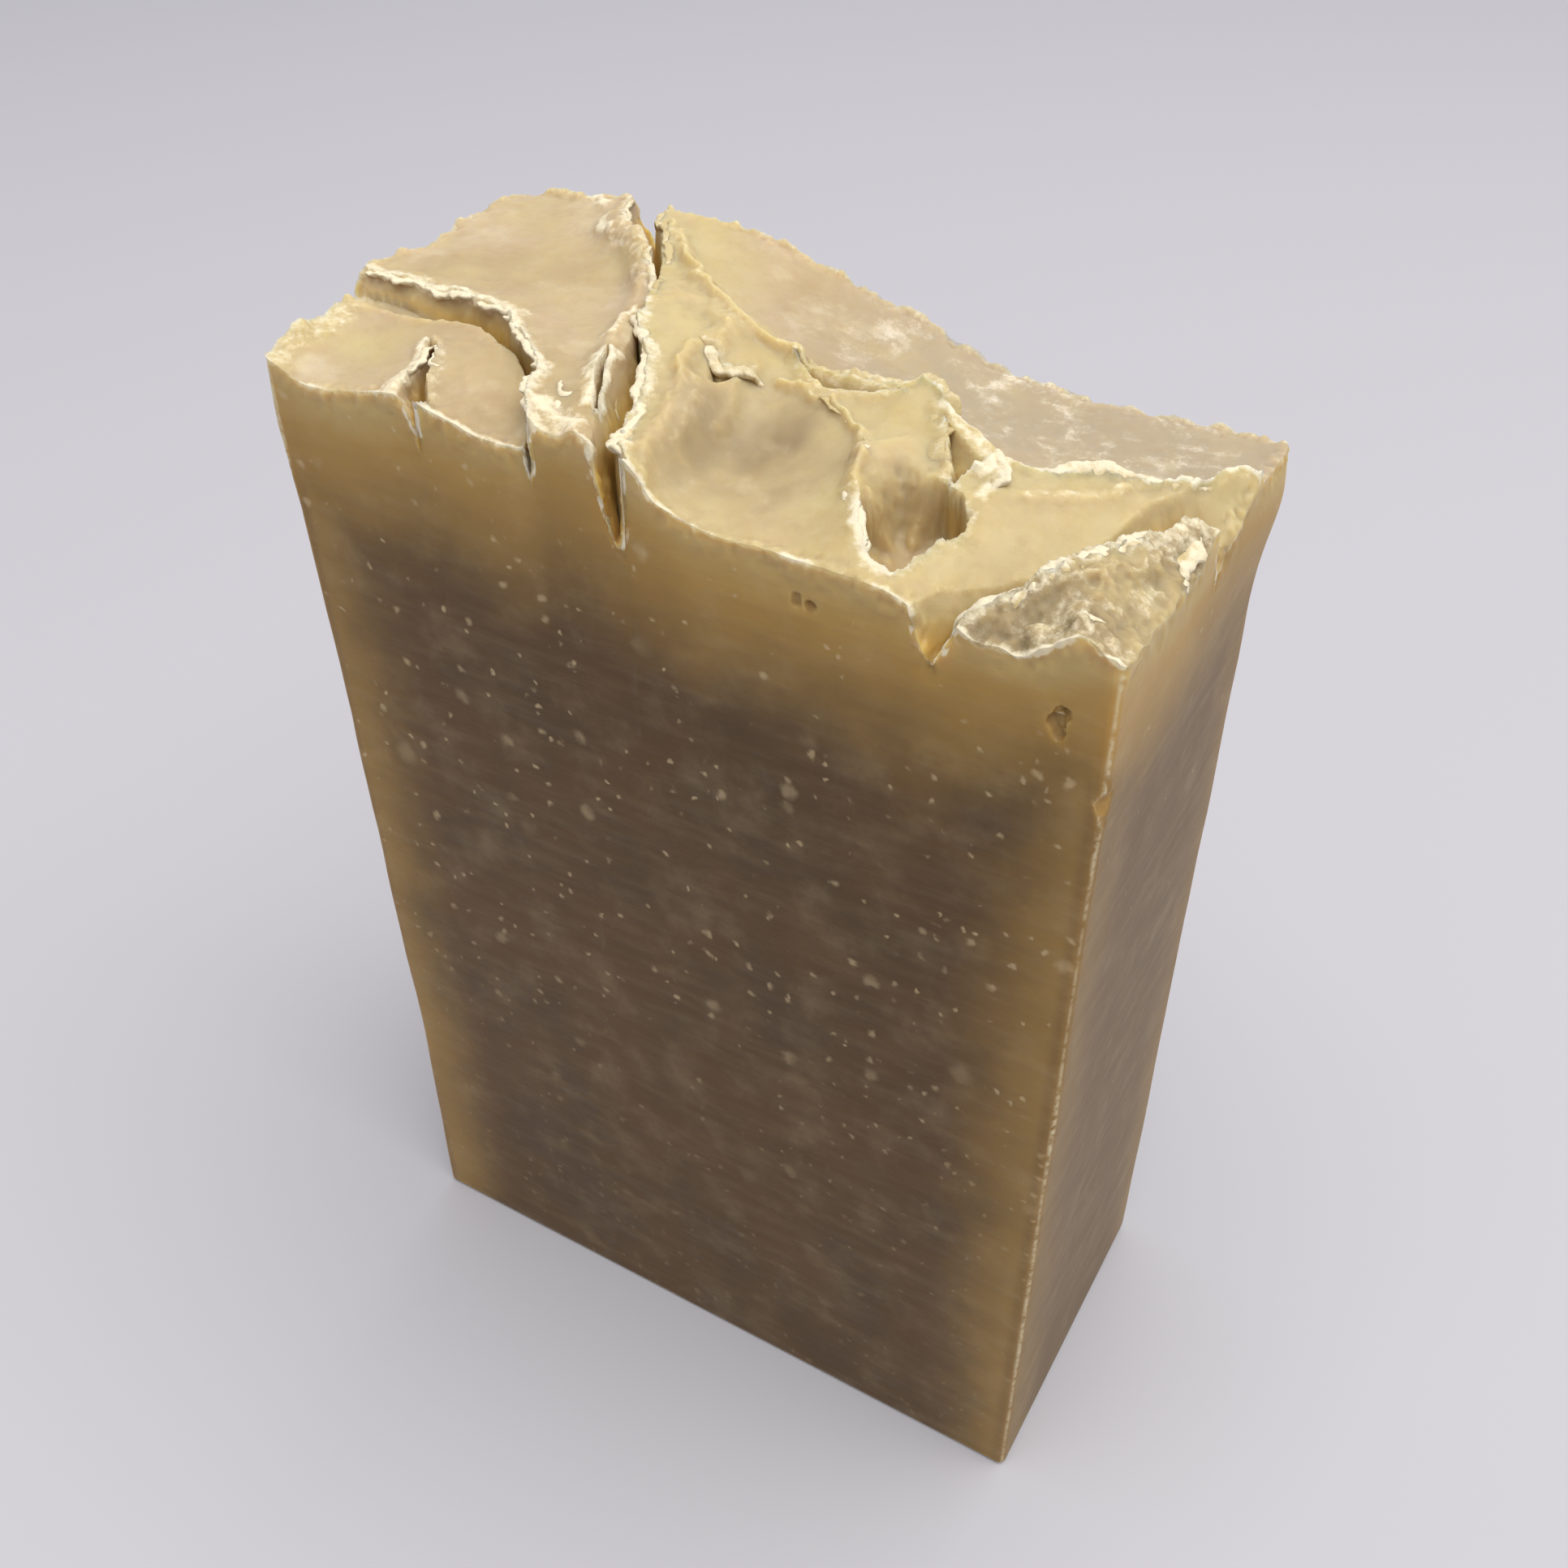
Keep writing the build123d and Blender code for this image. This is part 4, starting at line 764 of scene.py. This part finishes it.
lipParts, start = [], 0
for number, lip in enumerate(lips.values()):
    points, quads, fans, torn, gap = lipShape(*lip, 300 + 10 * number)
    lipParts.append((points, quads + start, fans + start, torn, gap))
    start += len(points)
points, quads, fans, torn, gap = (np.concatenate(part) for part in zip(*lipParts))
masks = {name: np.ones(start) for name in ("crown", "cream")}
masks.update({name: np.zeros(start) for name in ("below", "under", "clear", "dish", "bowl", "pit")})
tornLips = meshPiece("tornLips", points, [quads, fans], {**masks, "torn": torn, "gap": gap})
print("torn lips", 2 * len(quads) + len(fans), "triangles")


def linear(code):
    # an sRGB hex colour as linear light
    part = np.array([int(code[k:k + 2], 16) / 255 for k in (1, 3, 5)])
    light = np.where(part <= 0.04045, part / 12.92, ((part + 0.055) / 1.055) ** 2.4)
    return (*light, 1.0)


def curedSoap():
    # cold-process soap, cut by wire and cured: waxy and slightly clear on its cut faces, where the
    # light that leaks in at the edges is painted into their colour as a honey band, and dry, pale and
    # chalky where it tore. Each size of speck is its cells in a metre, the share of them left empty,
    # its radius and its strength
    look = {
        "plate": "#B19D7E", "plateWarm": "#A6916C", "plateGrey": "#A2937A", "dish": "#7F6D50",
        "shade": "#97825C", "cream": "#B9A87C", "creamWarm": "#B09B68", "torn": "#D9CEB2", "ash": "#DDD3C0",
        # crevice and hollow are the painted glow in the cracks and the hollow, brighter than the soap's own
        # colour
        "creviceGlow": "#BD9C58", "hollow": "#A99267", "pit": "#A3834A", "cut": "#5A411F", "cutGrey": "#523D20",
        "sideCut": "#654D27", "honeyGlow": "#AE8B48", "rimGlow": "#B8A572", "edge": "#CBC2A6", "speck": "#BFAA84",
        # the next three are mm that the painted glow of the honey band and its paler rim reach in from the
        # sides and down from the top
        "glowIn": 9.0, "glowDown": 15.5, "rimGlowDown": 4.2,  # mm that the honey band and its pale rim reach
        "clear": (2.4, 1.8, 1.0), "ior": 1.46, "waxy": 0.45, "dry": 0.8,  # the last two are roughness
        "specks": [
            (170.0, 0.84, 0.22, 0.35), (300.0, 0.86, 0.26, 0.5), (600.0, 0.84, 0.28, 0.8),
            (1100.0, 0.82, 0.32, 0.9)],
    }
    material = bpy.data.materials.new("curedSoap")
    material.use_nodes = True
    tree = material.node_tree
    tree.nodes.clear()

    def addNode(kind, links, out=0, **settings):
        # a node with its settings, and for each input a value, a colour or the output that feeds it
        made = tree.nodes.new("ShaderNode" + kind)
        for name, value in settings.items():
            setattr(made, name, value)
        for name, value in links.items():
            if isinstance(value, bpy.types.NodeSocket):
                tree.links.new(value, made.inputs[name])
            else:
                made.inputs[name].default_value = linear(value) if isinstance(value, str) else value
        return made.outputs[out] if made.outputs else None

    smooth, colours = {"interpolation_type": "SMOOTHSTEP"}, {"data_type": "RGBA"}
    add, take, times, timesAdd, least, most = (
        {"operation": word} for word in ("ADD", "SUBTRACT", "MULTIPLY", "MULTIPLY_ADD", "MINIMUM", "MAXIMUM"))
    place = addNode("TexCoord", {}, "Object")
    x, y, z = (addNode("SeparateXYZ", {0: place}, axis) for axis in "XYZ")
    names = ("crown", "torn", "gap", "below", "under", "cream", "dish", "bowl", "pit", "clear")
    crown, torn, gap, below, under, cream, dish, bowl, pit, clear = (
        addNode("Attribute", {}, "Fac", attribute_name=name) for name in names)
    # clouds about 9, 4 and 1 mm across, and crumbs about 0.7 mm across where it tore
    clouds, patches, grains = (
        addNode("TexNoise", {"Vector": place, "Scale": scale, "Detail": 5.0, "Roughness": 0.6})
        for scale in (110.0, 260.0, 900.0))
    crumbs = addNode("TexNoise", {"Vector": place, "Scale": 1500.0, "Detail": 5.0, "Roughness": 0.65})
    frayed = addNode("Math", {0: torn, 1: 0.65}, **take)
    frayed = addNode("Math", {0: crumbs, 1: 1.3, 2: frayed}, **timesAdd)
    frayed = addNode("MapRange", {0: frayed, 1: 0.35, 2: 0.9}, **smooth)

    # the top: tan plates, greyer on the right, with a darker dish between the creamy yellow folds
    warm = addNode("MapRange", {0: clouds, 1: 0.35, 2: 0.7}, **smooth)
    rightward = addNode("MapRange", {0: x, 1: -0.006, 2: 0.008}, **smooth)
    backward = addNode("MapRange", {0: y, 1: 0.0005, 2: 0.006}, **smooth)
    onRight = addNode("Math", {0: rightward, 1: backward}, **times)
    yellow = addNode("MapRange", {0: patches, 1: 0.4, 2: 0.7}, **smooth)
    yellow = addNode("Mix", {0: yellow, 6: look["cream"], 7: look["creamWarm"]}, 2, **colours)
    mottle = addNode("MapRange", {0: grains, 1: 0.45, 2: 0.8, 4: 0.25}, **smooth)
    pale = addNode("MapRange", {0: patches, 1: 0.5, 2: 0.8, 4: 0.35}, **smooth)
    # ash in soft flecked patches on the right plate, where the soap isn't creamy
    ash = addNode("TexNoise", {"Vector": place, "Scale": 420.0, "Detail": 9.0, "Roughness": 0.75})
    ash = addNode("MapRange", {0: ash, 1: 0.48, 2: 0.64}, **smooth)
    patch = addNode("MapRange", {0: patches, 1: 0.42, 2: 0.62, 4: 0.9}, **smooth)
    plain = addNode("Math", {0: 1.0, 1: cream}, use_clamp=True, **take)
    for mask in (patch, onRight, plain):
        ash = addNode("Math", {0: ash, 1: mask}, **times)
    # painted glow: golden in the cracks and brown in the hollow, more so the deeper, the soap's own
    # colour made brighter to stand in for light shining through the translucent soap into their shade
    crackGlow = addNode("MapRange", {0: gap, 1: 0.08, 2: 0.7}, **smooth)
    deep = addNode("Mix", {0: bowl, 6: look["creviceGlow"], 7: look["hollow"]}, 2, **colours)
    top = look["plate"]
    for mask, colour in (
        (warm, look["plateWarm"]), (onRight, look["plateGrey"]), (dish, look["dish"]), (cream, yellow),
        (mottle, look["shade"]), (pale, look["torn"]), (ash, look["ash"]), (crackGlow, deep),
        (frayed, look["torn"]),
    ):
        top = addNode("Mix", {0: mask, 6: top, 7: colour}, 2, **colours)

    # the cut faces: brown and greyish, with a painted glow along their edges, the honey band of light
    # shining in through the translucent soap, broad at the top
    inX, inY = (
        addNode("Math", {0: size / 2 * mm, 1: addNode("Math", {0: axis}, operation="ABSOLUTE")}, **take)
        for size, axis in ((body["width"], x), (body["depth"], y)))
    inward = addNode("Math", {0: inX, 1: inY}, **most)
    onSide = addNode("MapRange", {0: inX, 1: 0.0015, 2: 0.0007}, **smooth)
    wobble = addNode("MapRange", {0: clouds, 3: -0.003, 4: 0.003})
    strength = addNode("MapRange", {0: onSide, 3: 0.65, 4: 0.3})
    # painted glow: the honey band where light shines in through the edges, broad at the top, and its paler rim
    # just below the top
    sideways = addNode("Math", {0: inward, 1: wobble}, **add)
    sideways = addNode("MapRange", {0: sideways, 1: look["glowIn"] * mm, 2: -0.0015, 4: strength}, **smooth)
    downward = addNode("Math", {0: under, 1: mm, 2: wobble}, **timesAdd)
    glowNearRim = addNode("MapRange", {0: downward, 1: look["rimGlowDown"] * mm, 2: -0.0005, 4: 0.8}, **smooth)
    downward = addNode("MapRange", {0: downward, 1: look["glowDown"] * mm, 2: 0.0}, **smooth)
    honeyGlow = addNode("Math", {0: sideways, 1: downward}, **most)
    greyer = addNode("MapRange", {0: clouds, 1: 0.4, 2: 0.65}, **smooth)
    haze = addNode("MapRange", {0: patches, 1: 0.45, 2: 0.8, 4: 0.15}, **smooth)
    # the wire's faint drag marks, about 1 mm apart, run down to the right
    along = addNode("Mapping", {"Vector": place, "Rotation": (0.6, -0.6, 0), "Scale": (160.0, 160.0, 900.0)})
    drag = addNode("TexNoise", {"Vector": along, "Scale": 1.0, "Detail": 4.0, "Roughness": 0.6})
    faint = addNode("MapRange", {0: onSide, 3: 0.08, 4: 0.12})
    streak = addNode("MapRange", {0: drag, 1: 0.4, 2: 0.8, 4: faint}, **smooth)
    # specks of four sizes, bent out of round by a little noise on their place
    twist = addNode("TexNoise", {"Vector": place, "Scale": 1100.0, "Detail": 4.0}, "Color")
    bent = addNode("VectorMath", {0: twist, 1: (mm, mm, mm), 2: place}, **timesAdd)
    speck = 0.0
    for scale, rare, wide, strong in look["specks"]:
        cells = {"Vector": bent, "Scale": scale}
        tone, spot = (addNode("TexVoronoi", cells, out) for out in ("Color", "Distance"))
        chance, weight = (addNode("SeparateColor", {0: tone}, part) for part in (0, 1))
        chosen = addNode("Math", {0: chance, 1: rare}, operation="GREATER_THAN")
        weight = addNode("MapRange", {0: weight, 3: 0.25 * strong, 4: strong})
        spot = addNode("MapRange", {0: spot, 1: wide, 2: wide * 0.2}, **smooth)
        for mask in (chosen, weight):
            spot = addNode("Math", {0: spot, 1: mask}, **times)
        speck = addNode("Math", {0: speck, 1: spot}, **most)
    fewer = addNode("MapRange", {0: z, 1: 0.015, 2: 0.055, 3: 0.25, 4: 0.9}, **smooth)
    speck = addNode("Math", {0: speck, 1: fewer}, **times)
    # the worn edges, whitened in patches
    drop = addNode("Math", {0: below, 1: mm}, **times)
    toEdge = addNode("Math", {0: inward, 1: drop}, **least)
    broken = addNode("MapRange", {0: crumbs, 1: 0.35, 2: 0.6, 4: 0.75}, **smooth)
    worn = addNode("MapRange", {0: toEdge, 1: 0.0004, 2: 0.0001, 4: broken}, **smooth)
    cut = look["cut"]
    for mask, name in (
        (greyer, "cutGrey"), (onSide, "sideCut"), (honeyGlow, "honeyGlow"), (glowNearRim, "rimGlow"), (streak, "speck"),
        (haze, "speck"), (speck, "speck"), (worn, "edge"), (pit, "pit"), (frayed, "torn"),
    ):
        cut = addNode("Mix", {0: mask, 6: cut, 7: look[name]}, 2, **colours)
    colour = addNode("Mix", {0: crown, 6: cut, 7: top}, 2, **colours)

    # fine surface: dry crumbs where it tore, and the drag marks on the cut faces
    dry = addNode("MapRange", {0: torn, 3: 0.35, 4: 2.2})
    crumbs = addNode("Math", {0: crumbs, 1: dry}, **times)
    scored = addNode("MapRange", {0: onSide, 3: 1.0, 4: 0.35})
    drag = addNode("Math", {0: drag, 1: scored}, **times)
    height = addNode("Mix", {0: crown, 2: drag, 3: crumbs})
    bump = addNode("Bump", {"Strength": 0.5, "Distance": 0.00025, "Height": height})
    roughness = addNode("MapRange", {0: torn, 3: look["waxy"], 4: look["dry"]})
    shader = addNode("BsdfPrincipled", {
        "Base Color": colour, "Roughness": roughness, "Normal": bump, "IOR": look["ior"],
        "Specular IOR Level": 0.35, "Subsurface Weight": clear, "Subsurface Radius": look["clear"],
        "Subsurface Scale": mm,
    })
    addNode("OutputMaterial", {"Surface": shader})
    return material


soap = curedSoap()
for piece in (soapBar, tornLips):
    piece.data.materials.append(soap)
    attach(piece, "root")
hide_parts("soap_bar")
print("soap material on")

# the studio: a pale floor, a broad soft light above and behind, and a weak grey surround. The
# camera stands where the photograph was taken from, worked out from the bar's corners
studio = {
    "floor": "#B0AFB4", "floorSize": 3.0, "world": "#D4D4DC", "worldStrength": 0.8,
    "keyPower": 15.0, "keySize": 1.1, "keyPlace": (0.24, -0.06, 0.98), "keyColour": "#FFFDF8",
    "keyAim": (0, 0, 0.05), "lens": 37.27, "sensor": 36, "nearest": 0.01,
    "camera": (0.0497, -0.083, 0.1333), "cameraTurn": (50.32, 0.48, 30.17),
}


def paleFloor():
    half = studio["floorSize"] / 2
    mesh = bpy.data.meshes.new("floor")
    corners = [(-half, -half, 0), (half, -half, 0), (half, half, 0), (-half, half, 0)]
    mesh.from_pydata(corners, [], [(0, 1, 2, 3)])
    floor = bpy.data.objects.new("floor", mesh)
    bpy.context.scene.collection.objects.link(floor)
    material = bpy.data.materials.new("mattPaper")
    material.use_nodes = True
    shader = material.node_tree.nodes["Principled BSDF"]
    shader.inputs["Base Color"].default_value = linear(studio["floor"])
    shader.inputs["Roughness"].default_value = 0.9
    mesh.materials.append(material)


paleFloor()
world = bpy.data.worlds.new("surround")
bpy.context.scene.world = world
world.use_nodes = True
surround = world.node_tree.nodes["Background"].inputs
surround["Color"].default_value = linear(studio["world"])
surround["Strength"].default_value = studio["worldStrength"]
key = bpy.data.lights.new("key", "AREA")
key.energy = studio["keyPower"]
key.size = studio["keySize"]
key.color = linear(studio["keyColour"])[:3]
keyLamp = bpy.data.objects.new("key", key)
keyLamp.location = studio["keyPlace"]
keyAim = Vector(studio["keyAim"]) - keyLamp.location
keyLamp.rotation_euler = keyAim.to_track_quat("-Z", "Y").to_euler()
bpy.context.scene.collection.objects.link(keyLamp)

lens = bpy.data.cameras.new("camera")
lens.lens = studio["lens"]
lens.sensor_width = studio["sensor"]
lens.clip_start = studio["nearest"]
camera = bpy.data.objects.new("camera", lens)
camera.location = studio["camera"]
camera.rotation_euler = np.radians(studio["cameraTurn"])
bpy.context.scene.collection.objects.link(camera)
bpy.context.scene.camera = camera
bpy.context.scene.view_settings.view_transform = "Standard"
print("studio ready")
